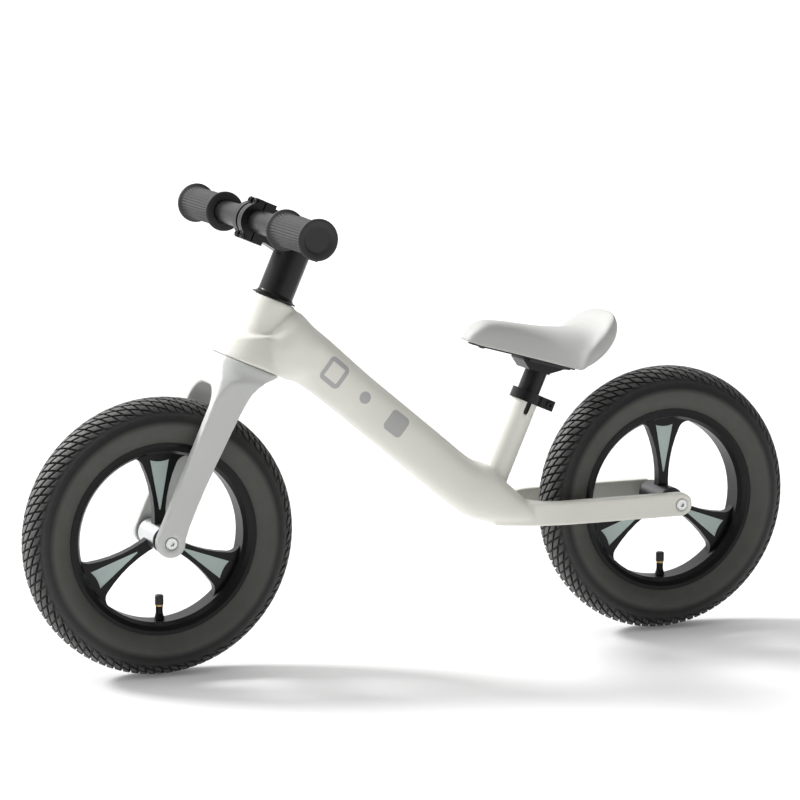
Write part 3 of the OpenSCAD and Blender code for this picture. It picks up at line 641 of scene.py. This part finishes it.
@dataclass(frozen=True)
class Tyre:
    """A tyre with a smooth sidewall and a tread of slanted rhombic blocks.

    The blocks lie on a grid: each row is one row_step from the last, and one turn holds
    so many repeats of it. The grooves run out between fade_start and tread_half.
    """
    end: str
    section: float = TYRE_SECTION
    wall: float = 0.0032
    groove_depth: float = 0.0023
    groove: float = 0.0018
    repeats: int = 48
    rows: int = 12
    row_step: Point = (0.0124, 0.0051)
    first_block: float = -0.0069
    fade_start: float = 0.020
    tread_half: float = 0.032
    sunk: float = 0.0004
    root: float = 0.0002
    bead: float = 0.1015
    rim_half: float = 0.0205
    seat_gap: float = 0.0003
    tread_edge: float = 0.128

    @cached_property
    def centre(self) -> Point:
        """Wheel centre, seen from the side."""
        low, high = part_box(f"{self.end}_tyre")
        return ((low.x + high.x) / 2, (low.z + high.z) / 2)

    @cached_property
    def outer(self) -> float:
        """Outer radius of the tread."""
        low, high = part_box(f"{self.end}_tyre")
        return (high.x - low.x) / 2

    @cached_property
    def pitch(self) -> float:
        """Distance round the tread after which its pattern comes again."""
        return 2 * math.pi * self.outer / self.repeats

    def fade(self, across: float) -> float:
        """Share by which the tread has run out, none near the middle."""
        return float(eased(abs(across), self.fade_start, self.tread_half))

    def skin(self, across: float) -> float:
        """Radius of the ground that far across: low under the tread, full beside it."""
        return self.section - self.groove_depth * (1 - self.fade(across))

    def place(self, along: float, across: float, radius: float) -> Place:
        """A point on the tyre.

        Args:
            along: distance round the tread, clockwise seen from the rider's left.
            across: distance from the middle of the tread towards the rider's left.
            radius: radius from the section's centre.

        Returns:
            The point in the bike's frame.
        """
        turn = math.pi - along / self.outer
        tilt = across / self.section
        out = self.outer - self.section + radius * math.cos(tilt)
        x, z = self.centre
        return (x + out * math.cos(turn), -radius * math.sin(tilt), z + out * math.sin(turn))

    def outline(self, outside: int = 73, inside: int = 24) -> list[Point]:
        """The closed section: tread and walls, one bead, the inside, the other bead.

        Args:
            outside: points of the outer arc.
            inside: points of the inner arc.

        Returns:
            Points out from the section's centre and sideways.
        """
        foot = self.bead - self.outer + self.section
        reach = math.acos((foot + 0.0035) / self.section)
        made = []
        for angle in np.linspace(-reach, reach, outside):
            radius = self.skin(angle * self.section)
            made.append((radius * math.cos(angle), radius * math.sin(angle)))
        bead = [(foot + 0.0015, self.rim_half - 0.003), (foot + self.seat_gap, self.rim_half - 0.004),
                (foot + self.seat_gap, 0.012), (foot + 0.003, 0.0132)]
        inner = self.section - self.wall
        hook = math.acos((foot + 0.006) / inner)
        made += bead
        made += [(inner * math.cos(t), inner * math.sin(t)) for t in np.linspace(hook, -hook, inside)]
        return made + [(out, -side) for out, side in reversed(bead)]

    def carcass(self, steps: int = 192) -> tuple[list, list]:
        """The section turned round the axle.

        Args:
            steps: steps of the turn.

        Returns:
            Points and faces.
        """
        outline = self.outline()
        x, z = self.centre
        ring = self.outer - self.section
        points = []
        for turn in turns(steps):
            for out, side in outline:
                far = ring + out
                points.append((x + far * math.cos(turn), side, z + far * math.sin(turn)))
        return points, grid_faces(steps, len(outline), wrap_rows=True, wrap_columns=True)

    def block(self) -> tuple[np.ndarray, list]:
        """One slanted tread block round its own middle.

        Returns:
            Points along, across and raised, and quads.
        """
        u = np.array(self.row_step)
        v = 2 * u - (self.pitch, 0.0)
        size = abs(u[0] * v[1] - u[1] * v[0])
        u, v = (u * (1 - self.groove * np.linalg.norm(v) / size),
                v * (1 - self.groove * np.linalg.norm(u) / size))
        steps = (0.0, 0.04, 0.10, 0.3, 0.5, 0.7, 0.90, 0.96, 1.0)
        lift = (0.0, 0.93, 1.0, 1.0, 1.0, 1.0, 1.0, 0.93, 0.0)
        points = []
        for q, up_q in zip(steps, lift):
            for p, up_p in zip(steps, lift):
                points.append((*((p - 0.5) * u + (q - 0.5) * v), min(up_p, up_q)))
        return np.array(points), grid_faces(len(steps), len(steps))

    def tread(self, first: int) -> tuple[list, list]:
        """All tread blocks.

        Args:
            first: number of their first point.

        Returns:
            Points and faces.
        """
        shape, quads = self.block()
        points, faces = [], []
        for turn in range(self.repeats):
            for row in range(self.rows):
                number = row - (self.rows - 1) / 2
                base = first + len(points)
                for along, across, up in shape:
                    along += self.first_block + number * self.row_step[0] + turn * self.pitch
                    across += number * self.row_step[1]
                    ground = self.skin(across) - self.root
                    top = self.section - self.sunk * self.fade(across)
                    points.append(self.place(along, across, ground + (top - ground) * up))
                faces += [[base + i for i in quad][::-1] for quad in quads]
        return points, faces

    def build(self) -> bpy.types.Object:
        """Makes the tyre and puts it on its wheel."""
        points, faces = self.carcass()
        more, blocks = self.tread(len(points))
        rubber = TyreRubber(self.centre, self.tread_edge, self.outer).build(f"{self.end}_tyre_rubber")
        made = new_piece(f"{self.end}_tyre_treaded", np.array(points + more), faces + blocks, rubber)
        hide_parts(f"{self.end}_tyre")
        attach(made, f"{self.end}_wheel")
        return made


@dataclass(frozen=True)
class Grip:
    """A spool-shaped rubber grip with ribs along it and a dished end.

    The dish is a list of radii and depths below the end. Reach, rise and bar_length place
    the bar beside the steering axis.
    """
    side: str
    steering: Steering
    rubber: Moulded = Moulded((0.022, 0.022, 0.023), 0.62, 0.0007, 0.00004, 0.12)
    length: float = 0.099
    waist: float = 0.0172
    flange: float = 0.022
    bar: float = 0.0127
    ribs: int = 36
    rib_points: int = 6
    rib_height: float = 0.0009
    reach: float = 0.0544
    rise: float = 0.354
    bar_length: float = 0.376
    overhang: float = 0.005
    flare: float = 0.0045
    edge: float = 0.002
    play: float = 0.0001
    dish: tuple[Point, ...] = ((0.0190, 0.0001), (0.0165, 0.0007), (0.0146, 0.0014), (0.0140, 0.0024),
                               (0.0134, 0.0026), (0.0126, 0.0026), (0.006, 0.0026), (0.002, 0.0026))

    def rim(self, at: float, start: int) -> list[Place]:
        """Rows of a flange's round edge, centred there: a quarter turn from start degrees."""
        turns = np.radians(np.linspace(start, start + 90, 7))
        return [(self.flange - self.edge + self.edge * math.cos(t), at + self.edge * math.sin(t), 0)
                for t in turns]

    def outline(self) -> list[Place]:
        """Radius, distance from the inner end, and share of rib, along the grip."""
        bore = self.bar + self.play
        shoulder = ((self.flange - 0.0002, 0.0035), (self.flange - 0.0008, self.flare))
        rows: list[Place] = [(bore, 0.004, 0), (bore, 0.0002, 0), (self.bar + 0.0008, 0.0, 0)]
        rows += self.rim(self.edge, -90)
        rows += [(radius, along, 0) for radius, along in shoulder]
        start, end = self.flare + 0.0008, self.length - self.flare - 0.0008
        for t in np.linspace(0, 1, 41):
            inward = min(t, 1 - t) * (end - start)
            lip = max(0.0, 1 - inward / 0.010)
            body = self.waist + 0.0008 * (1 - (2 * t - 1) ** 2)
            radius = body + (self.flange - 0.0022 - body) * lip ** 2.2
            rows.append((radius, start + t * (end - start), min(1.0, inward / 0.0035)))
        rows += [(radius, self.length - along, 0) for radius, along in reversed(shoulder)]
        rows += self.rim(self.length - self.edge, 0)
        return rows + [(radius, self.length - depth, 0) for radius, depth in self.dish]

    def build(self) -> bpy.types.Object:
        """Makes the grip and puts it on the bar."""
        sign = -1 if self.side == "left" else 1
        rows = self.outline()
        around = self.ribs * self.rib_points
        points = []
        for radius, along, ribbed in rows:
            for turn in turns(around):
                wave = 0.5 + 0.5 * math.cos(turn * self.ribs)
                r = radius - self.rib_height * ribbed * (1 - wave ** 0.7)
                points.append((r * math.cos(turn), r * math.sin(turn), along))
        faces = grid_faces(len(rows), around, wrap_columns=True)
        points.append((0.0, 0.0, rows[-1][1]))
        faces += fan((len(rows) - 1) * around, around, len(points) - 1)
        inner_end = sign * (self.bar_length / 2 + self.overhang - self.length)
        lying = Matrix.Rotation(-sign * math.pi / 2, 4, "X")
        made = new_piece(f"ribbed_grip_{self.side}", np.array(points), faces,
                         self.rubber.build(f"grip_rubber_{self.side}"))
        made.data.transform(self.steering.matrix(-self.reach, inner_end, self.rise) @ lying)
        made.data.update()
        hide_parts(f"grip_{self.side}")
        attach(made, "fork")
        return made


@dataclass(frozen=True)
class MainFrame:
    """The cast frame with its grey motifs.

    The crease values bound the ends of the crease of the shelf behind the head.
    """
    paint: Colour = (0.82, 0.815, 0.745)
    lean: float = math.radians(-39.0)
    crease_x: tuple[float, ...] = (-0.192, -0.182, -0.166, -0.156)
    crease_z: tuple[float, ...] = (0.355, 0.363, 0.377, 0.385)
    crease_side: Point = (0.026, 0.032)
    voxel: float = 0.0015
    passes: int = 10
    motifs: tuple[Motif, ...] = (
        Motif(Shape.RING, (-0.1100, 0.3235), 0.0145, 0.0062),
        Motif(Shape.DOT, (-0.0728, 0.2932), 0.0068, 0.0068),
        Motif(Shape.SOLID, (-0.0352, 0.2618), 0.0125, 0.0055),
    )

    def calm(self, points: np.ndarray) -> np.ndarray:
        """Share of extra smoothing, full at the crease's ends."""
        x, side, z = points[:, 0], np.abs(points[:, 1]), points[:, 2]
        return within(x, *self.crease_x) * within(z, *self.crease_z) * eased(side, *self.crease_side)

    def build(self) -> bpy.types.Object:
        """Makes the casting."""
        coat = PowderCoat(self.paint, motifs=self.motifs, lean=self.lean).build("frame_paint")
        skin = Casting("frame", "frame", "frame_paint", self.voxel, self.passes, calm=self.calm)
        return skin.build("frame_casting", coat)


@dataclass(frozen=True)
class Fork:
    """The cast fork, with a thin trailing edge on its crown.

    Each pair is where a change starts and is full: the crown's height up the axis, and the
    distances behind the axis over which it is thinned and trimmed.
    """
    steering: Steering
    # painted shade: the fork wears the frame's warm white paint, given here as a darker, cooler grey with
    # its shade baked in
    paint: Colour = (0.60, 0.61, 0.59)
    crown_top: float = 0.207
    thinning: float = 0.55
    trim: float = 0.004
    lift: float = 0.0009
    crown: Point = (0.150, 0.170)
    thinned: Point = (0.000, 0.026)
    trimmed: Point = (0.016, 0.030)
    voxel: float = 0.0014
    passes: int = 10

    def sculpt(self, points: np.ndarray) -> np.ndarray:
        """Thins the crown towards its trailing edge and closes its gap to the frame.

        Args:
            points: points of the casting.

        Returns:
            The moved points.
        """
        place = np.array(self.steering.matrix())
        turn, foot = place[:3, :3], place[:3, 3]
        local = (points - foot) @ turn
        back, up = local[:, 0], local[:, 2]
        high = eased(up, *self.crown)
        thin = eased(back, *self.thinned) * high
        local[:, 2] = self.crown_top - (self.crown_top - up) * (1 - self.thinning * thin)
        local[:, 2] += self.lift * eased(up, self.crown_top - 0.004, self.crown_top - 0.001)
        local[:, 0] = back - self.trim * eased(back, *self.trimmed) * high
        return local @ turn.T + foot

    def build(self) -> bpy.types.Object:
        """Makes the casting."""
        # the frame's paint, darkened with painted shade
        coat = PowderCoat(self.paint).build("fork_paint")
        skin = Casting("fork", "fork", "fork_paint", self.voxel, self.passes, self.sculpt)
        return skin.build("fork_casting", coat)


@dataclass(frozen=True)
class Saddle:
    """The padded saddle and the plate under it.

    A station is the top's distance from the nose and height, the bottom's, and half the width,
    as shares of the pad's own length, height and half width. The powers of sides and crown
    are those at the nose and what the heel adds; softer says where along the pad it does.
    """
    skin: PadSkin = PadSkin((0.50, 0.505, 0.485))
    plastic: Moulded = Moulded((0.016, 0.016, 0.017), 0.5)
    steel: Metal = Metal((0.035, 0.035, 0.036), 0.34, 1.0)
    origin: Point = (0.0561, 0.3457)
    tilt: float = math.radians(15.2)
    length: float = 0.171
    height: float = 0.0705
    nose_out: float = 0.0035
    nose: Point = (0.004, 0.050)
    heel_round: float = 0.024
    heel: Point = (0.105, 0.160)
    hip: float = 0.007
    hip_share: float = 0.35
    softer: Point = (0.095, 0.150)
    sides: Point = (0.62, 0.28)
    crown: Point = (0.68, 0.24)
    belly: Point = (0.30, 0.5)
    lip: float = 0.0022
    lip_half: Point = (0.010, 0.020)
    lip_low: Point = (0.001, 0.012)
    lip_side: Point = (0.86, 0.95)
    inset: float = 0.0034
    plate_least: float = 0.004
    plate_tip: float = 0.35
    plate_start: float = 0.010
    plate_end: float = 0.128
    plate_depth: float = 0.0021
    foot_start: float = 0.075
    foot_end: float = 0.122
    foot_half: float = 0.020
    foot_depth: float = 0.005
    screws: tuple[Point, ...] = ((0.024, 0.0), (0.116, 0.034), (0.116, -0.034))
    around: int = 96
    stations: tuple[tuple[float, float, float, float, float], ...] = (
        (0.012, 0.07, 0.006, 0.04, 0.08), (0.035, 0.20, 0.018, 0.01, 0.21),
        (0.105, 0.37, 0.076, 0.0, 0.30), (0.222, 0.435, 0.21, 0.0, 0.345),
        (0.374, 0.47, 0.368, 0.0, 0.42), (0.526, 0.505, 0.526, 0.0, 0.60),
        (0.655, 0.555, 0.66, 0.0, 0.83), (0.754, 0.61, 0.772, 0.014, 0.97),
        (0.825, 0.69, 0.871, 0.113, 1.0), (0.871, 0.795, 0.947, 0.298, 0.95),
        (0.90, 0.908, 0.994, 0.54, 0.84), (0.924, 0.979, 1.0, 0.738, 0.68),
        (0.942, 1.0, 0.982, 0.88, 0.50))

    @cached_property
    def half_width(self) -> float:
        """Half the width of the CAD pad."""
        low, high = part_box("saddle_cover")
        return (high.y - low.y) / 2

    def rows(self, steps: int = 9) -> np.ndarray:
        """The stations in metres with smooth ones between them."""
        size = np.array((self.length, self.height, self.length, self.height, self.half_width))
        rows = np.array(self.stations) * size
        ends = np.vstack([2 * rows[0] - rows[1], rows, 2 * rows[-1] - rows[-2]])
        made = []
        for i in range(1, len(ends) - 2):
            p0, p1, p2, p3 = ends[i - 1:i + 3]
            for t in np.arange(steps) / steps:
                made.append(0.5 * (2 * p1 + (p2 - p0) * t + (2 * p0 - 5 * p1 + 4 * p2 - p3) * t ** 2
                                   + (3 * p1 - p0 - 3 * p2 + p3) * t ** 3))
        return np.array(made + [rows[-1]])

    def placed(self, points: np.ndarray) -> np.ndarray:
        """Points along, across and above the base, rounded at the heel and set on the bike."""
        along, side, up = points.T
        heel = self.heel_round * (side / self.half_width) ** 2 * eased(along, *self.heel)
        along = along - heel - self.nose_out * (1 - eased(along, *self.nose))
        x = self.origin[0] + along * math.cos(self.tilt) + up * math.sin(self.tilt)
        z = self.origin[1] - along * math.sin(self.tilt) + up * math.cos(self.tilt)
        return np.stack([x, side, z], axis=1)

    def ring(self, row: np.ndarray) -> list[Place]:
        """One closed section of the pad: crowned sides, a small lip and a flat belly.

        Args:
            row: the section's top, bottom and half width, from rows().

        Returns:
            Points along, across and up.
        """
        top_x, top_z, low_x, low_z, half = row
        depth = math.hypot(top_x - low_x, top_z - low_z)
        hip = min(self.hip, depth * self.hip_share) / depth
        soft = float(eased(low_x, *self.softer))
        sides, crown = (power + more * soft for power, more in (self.sides, self.crown))
        lip = self.lip * float(eased(half, *self.lip_half)) * (1 - float(eased(low_z, *self.lip_low)))
        made = []
        for turn in turns(self.around):
            c, d = math.cos(turn), math.sin(turn)
            if d >= 0:
                side, up = abs(c) ** sides, hip + (1 - hip) * d ** crown
            else:
                side, up = abs(c) ** self.belly[0], hip * (1 - abs(d) ** self.belly[1])
            across = half * math.copysign(side, c)
            drop = lip * float(eased(side, *self.lip_side)) if d < 0 else 0.0
            made.append((low_x + (top_x - low_x) * up, across, low_z + (top_z - low_z) * up - drop))
        return made

    def pad(self) -> bpy.types.Object:
        """Makes the pad."""
        rows = self.rows()
        points: list[Place] = []
        for row in rows:
            points += self.ring(row)
        faces = grid_faces(len(rows), self.around, wrap_columns=True)
        for first, turn in ((0, -1), ((len(rows) - 1) * self.around, 1)):
            rim = points[first:first + self.around]
            points.append(tuple(np.mean(rim, axis=0)))
            faces += fan(first, self.around, len(points) - 1, turn)
        made = new_piece("saddle_pad", self.placed(np.array(points)), faces, self.skin.build("saddle_skin"))
        relax(made.data, 3)
        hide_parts("saddle_cover")
        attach(made, "seat")
        return made

    def plate(self) -> None:
        """Makes the stepped plate under the pad."""
        rows = self.rows()
        stops = np.linspace(self.plate_start, self.plate_end, 40)
        half = np.interp(stops, rows[:, 2], rows[:, 4]) - self.inset
        tail = 1 - ((stops - stops.mean()) / (np.ptp(stops) / 2)) ** 8
        full = self.plate_tip + (1 - self.plate_tip) * np.sqrt(np.clip(tail, 0.0, 1.0))
        wide = np.maximum(half, self.plate_least) * full
        points, faces = self.slab(stops, wide, self.plate_depth)
        foot = np.linspace(self.foot_start, self.foot_end, 12)
        more, extra = self.slab(foot, np.full(12, self.foot_half), self.foot_depth, len(points))
        made = new_piece("saddle_plate", self.placed(np.array(points + more)), faces + extra,
                         self.plastic.build("saddle_plate_plastic"))
        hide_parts("saddle_base")
        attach(made, "seat")

    def slab(self, stops: np.ndarray, wide: np.ndarray, depth: float, first: int = 0) -> tuple[list, list]:
        """A flat plate hung under the pad with a soft lower edge.

        Args:
            stops: distances along the pad.
            wide: half its width at each.
            depth: how far it hangs.
            first: number of its first point.

        Returns:
            Points and faces.
        """
        points, count = [], 2 * len(stops)
        levels = ((-0.0001, 0.0), (0.0005 - depth, 0.0), (0.0001 - depth, 0.0003), (-depth, 0.0007))
        for up, inset in levels:
            inner = np.clip(stops, stops[0] + inset, stops[-1] - inset)
            points += [(x, w - inset, up) for x, w in zip(inner, wide)]
            points += [(x, inset - w, up) for x, w in zip(inner[::-1], wide[::-1])]
        faces = [face[::-1] for face in grid_faces(len(levels), count, first, wrap_columns=True)]
        last = first + (len(levels) - 1) * count
        faces += [tuple(range(first + count - 1, first - 1, -1)), tuple(range(last, last + count))]
        return points, faces

    def heads(self) -> None:
        """Makes the domed heads of the three screws that hold the plate, as one piece."""
        rim, rise, skirt, sunk, around, rings = 0.004, 0.0017, 0.0003, 0.0015, 24, 6
        outline = [(rim, sunk), (rim, -skirt)]
        outline += [(rim * math.cos(t), -skirt - rise * math.sin(t))
                    for t in np.radians(np.linspace(0, 90, rings + 1))[1:rings]]
        points: list[Place] = []
        faces: list[tuple[int, ...]] = []
        for along, side in self.screws:
            base = len(points)
            for radius, up in outline:
                for turn in turns(around):
                    points.append((along + radius * math.cos(turn), side + radius * math.sin(turn),
                                   up - self.plate_depth))
            faces += grid_faces(len(outline), around, base, wrap_columns=True)
            faces.append(tuple(range(base, base + around)))
            last = base + (len(outline) - 1) * around
            faces.append(tuple(range(last + around - 1, last - 1, -1)))
        made = new_piece("saddle_plate_screws", self.placed(np.array(points)), faces,
                         self.steel.build("saddle_screw_steel"))
        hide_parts("saddle_screws")
        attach(made, "seat")

    def build(self) -> bpy.types.Object:
        """Makes the plate, its screw heads and the pad."""
        self.plate()
        self.heads()
        return self.pad()


@dataclass(frozen=True)
class ValveStem:
    """Blackened valve stem with a bright brass ring nut."""
    axle: float
    ring: Point = (0.0752, 0.0774)
    edge: float = 0.0002
    black: Colour = (0.02, 0.02, 0.02)
    brass: Colour = (0.62, 0.42, 0.16)

    def build(self, name: str) -> bpy.types.Material:
        """Makes the material."""
        s = Shader(name)
        _, _, z = s.axes(s.place())
        down = self.axle - z
        start, end = self.ring
        nut = down.ramp(start - self.edge, start) * down.ramp(end + self.edge, end)
        cloud = s.noise(0.003, 2)
        base = s.mix(nut, s.tinted(cloud, self.black, 0.8, 1.2), s.tinted(cloud, self.brass, 0.85, 1.1))
        s.set(Base_Color=base, Metallic=1.0, Roughness=0.38 + (cloud - 0.5) * 0.2,
              Normal=s.bump(s.noise(0.0005, 1), 0.00002))
        return s.material


@dataclass(frozen=True)
class KeptNodes:
    """Finishes for the CAD nodes that keep their own meshes."""
    black: Metal = Metal((0.010, 0.010, 0.010), 0.30, 0.0, specular=0.25)
    black_steel: Metal = Metal((0.035, 0.035, 0.036), 0.34, 1.0)
    steel: Metal = Metal((0.52, 0.53, 0.55), 0.30, 1.0, (1.0, 8.0, 1.0))
    pale: Metal = Metal((0.75, 0.76, 0.76), 0.34, 0.9)
    # the two hubs are one part: a pale lit copy for the front and a dark shaded copy for the rear of one
    # turned metal, painted light and painted shade
    hub_painted_lit: Metal = Metal((0.66, 0.67, 0.68), 0.30, 1.0, (0.2, 6.0, 0.2), 0.0006, 0.00003)
    hub_painted_shaded: Metal = Metal((0.075, 0.075, 0.078), 0.36, 1.0, (0.2, 6.0, 0.2), 0.0006, 0.00003)
    plastic: Moulded = Moulded((0.016, 0.016, 0.017), 0.52)
    nylon: Moulded = Moulded((0.006, 0.006, 0.0065), 0.34, 0.002, 0.00002, 0.08, 0.22)
    sage: Moulded = Moulded((0.49, 0.585, 0.56), 0.42, 0.0006, 0.00002, 0.03)
    rubber: Moulded = Moulded((0.016, 0.016, 0.016), 0.6, 0.0005, 0.00003, 0.1)
    valve: ValveStem = ValveStem(0.152)

    def dress(self) -> None:
        """Gives every kept node its material."""
        nodes: dict[Metal | Moulded | ValveStem, tuple[str, ...]] = {
            self.steel: ("lower_bearing", "crown_race", "star_nut", "steerer_tube"),
            self.black: ("seat_clamp", "seat_post", "saddle_bracket", "headset_cover", "stem",
                         "stem_faceplate", "stem_top_cap", "handlebar"),
            self.black_steel: ("upper_bearing", "seat_clamp_bolt", "faceplate_bolts",
                               "stem_pinch_bolts", "top_cap_bolt"),
            self.plastic: ("seat_post_plug",),
        }
        wheel: dict[Metal | Moulded | ValveStem, tuple[str, ...]] = {
            self.steel: ("axle", "bearings"), self.black: ("axle_spacers",),
            self.pale: ("axle_bolts",), self.nylon: ("wheel",), self.sage: ("spoke_panels",),
            self.plastic: ("dust_caps", "valve_cap"), self.rubber: ("inner_tube",),
            self.valve: ("valve",),
        }
        # front hub gets the painted lit copy, rear hub the painted shaded copy
        for end, hub in (("front", self.hub_painted_lit), ("rear", self.hub_painted_shaded)):
            for finish, names in (wheel | {hub: ("hub",)}).items():
                nodes[finish] = nodes.get(finish, ()) + tuple(f"{end}_{name}" for name in names)
        for number, (finish, names) in enumerate(nodes.items()):
            material = finish.build(f"finish_{number:02d}")
            for name in names:
                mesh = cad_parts[name].data
                if not mesh.materials:
                    mesh.materials.append(material)
                for i in range(len(mesh.materials)):
                    mesh.materials[i] = material
                LOG.info("dressed %s", name)


@dataclass(frozen=True)
class Studio:
    """Floor, lights and camera."""
    azimuth: float = math.radians(-22.46)
    elevation: float = math.radians(9.52)
    roll: float = math.radians(0.22)
    distance: float = 3.6708
    lens: float = 149.5
    target: Place = (-0.0216, 0.0, 0.2837)
    key_from: Place = (-0.587, 0.510, 0.629)
    key_power: float = 2.9
    key_size: float = math.radians(14)
    dome_from: Place = (-0.45, 0.55, 0.70)
    dome_low: float = 0.12
    dome_gain: float = 1.45
    floor_half: float = 60.0
    floor_glow: float = 0.11

    def camera(self) -> None:
        """Puts the camera where the bike is seen from its front left."""
        back = Vector((math.sin(self.azimuth) * math.cos(self.elevation),
                       -math.cos(self.azimuth) * math.cos(self.elevation), math.sin(self.elevation)))
        level = Vector((math.cos(self.azimuth), math.sin(self.azimuth), 0))
        rise = back.cross(level)
        right = level * math.cos(self.roll) + rise * math.sin(self.roll)
        up = rise * math.cos(self.roll) - level * math.sin(self.roll)
        data = bpy.data.cameras.new("camera")
        data.lens = self.lens
        data.clip_end = 200
        made = bpy.data.objects.new("camera", data)
        place = Matrix((right, up, back)).transposed().to_4x4()
        place.translation = Vector(self.target) + back * self.distance
        made.matrix_world = place
        bpy.context.scene.collection.objects.link(made)
        bpy.context.scene.camera = made

    def sun(self) -> None:
        """Adds the soft key light, high on the left and a little behind."""
        data = bpy.data.lights.new("key", "SUN")
        data.energy = self.key_power
        data.angle = self.key_size
        made = bpy.data.objects.new("key", data)
        made.rotation_euler = Vector(self.key_from).to_track_quat("Z", "Y").to_euler()
        bpy.context.scene.collection.objects.link(made)

    def floor(self) -> None:
        """Lays the pale floor."""
        s = Shader("floor_paper")
        tone = s.mix(s.noise(0.4, 2), (0.80, 0.80, 0.80), (0.82, 0.82, 0.82))
        s.set(Base_Color=tone, Roughness=0.9, Specular_IOR_Level=0.1,
              Emission_Color=(1.0, 1.0, 1.0), Emission_Strength=self.floor_glow)
        far = self.floor_half
        corners = np.array([(-far, -far, 0), (far, -far, 0), (far, far, 0), (-far, far, 0)])
        made = new_piece("floor", corners, [(0, 1, 2, 3)], s.material)

    def build(self) -> None:
        """Sets up the whole studio."""
        self.floor()
        sky = Sky("studio")
        aim = Vector(self.dome_from).normalized()
        towards = sky.node("ShaderNodeTexCoord", output="Generated")
        facing = sky.node("ShaderNodeVectorMath", {"operation": "DOT_PRODUCT"},
                          {0: towards, 1: tuple(aim)}, output="Value")
        sky.set(Strength=self.dome_low + facing.larger(0) * self.dome_gain)
        bpy.context.scene.world = sky.world
        bpy.context.scene.view_settings.view_transform = "Standard"
        self.sun()
        self.camera()


def main() -> None:
    """Builds every sub-assembly in order."""
    logging.basicConfig(level=logging.INFO, format="%(name)s: %(message)s")
    Studio().build()
    KeptNodes().dress()
    steering = Steering()
    builders: list[Callable[[], bpy.types.Object]] = [
        MainFrame().build, Fork(steering).build, Saddle().build,
        Tyre("front").build, Tyre("rear").build,
        Grip("left", steering).build, Grip("right", steering).build,
    ]
    for build in builders:
        made = build()
        LOG.info("built %s", made.name)


if __name__ == "__main__":
    main()
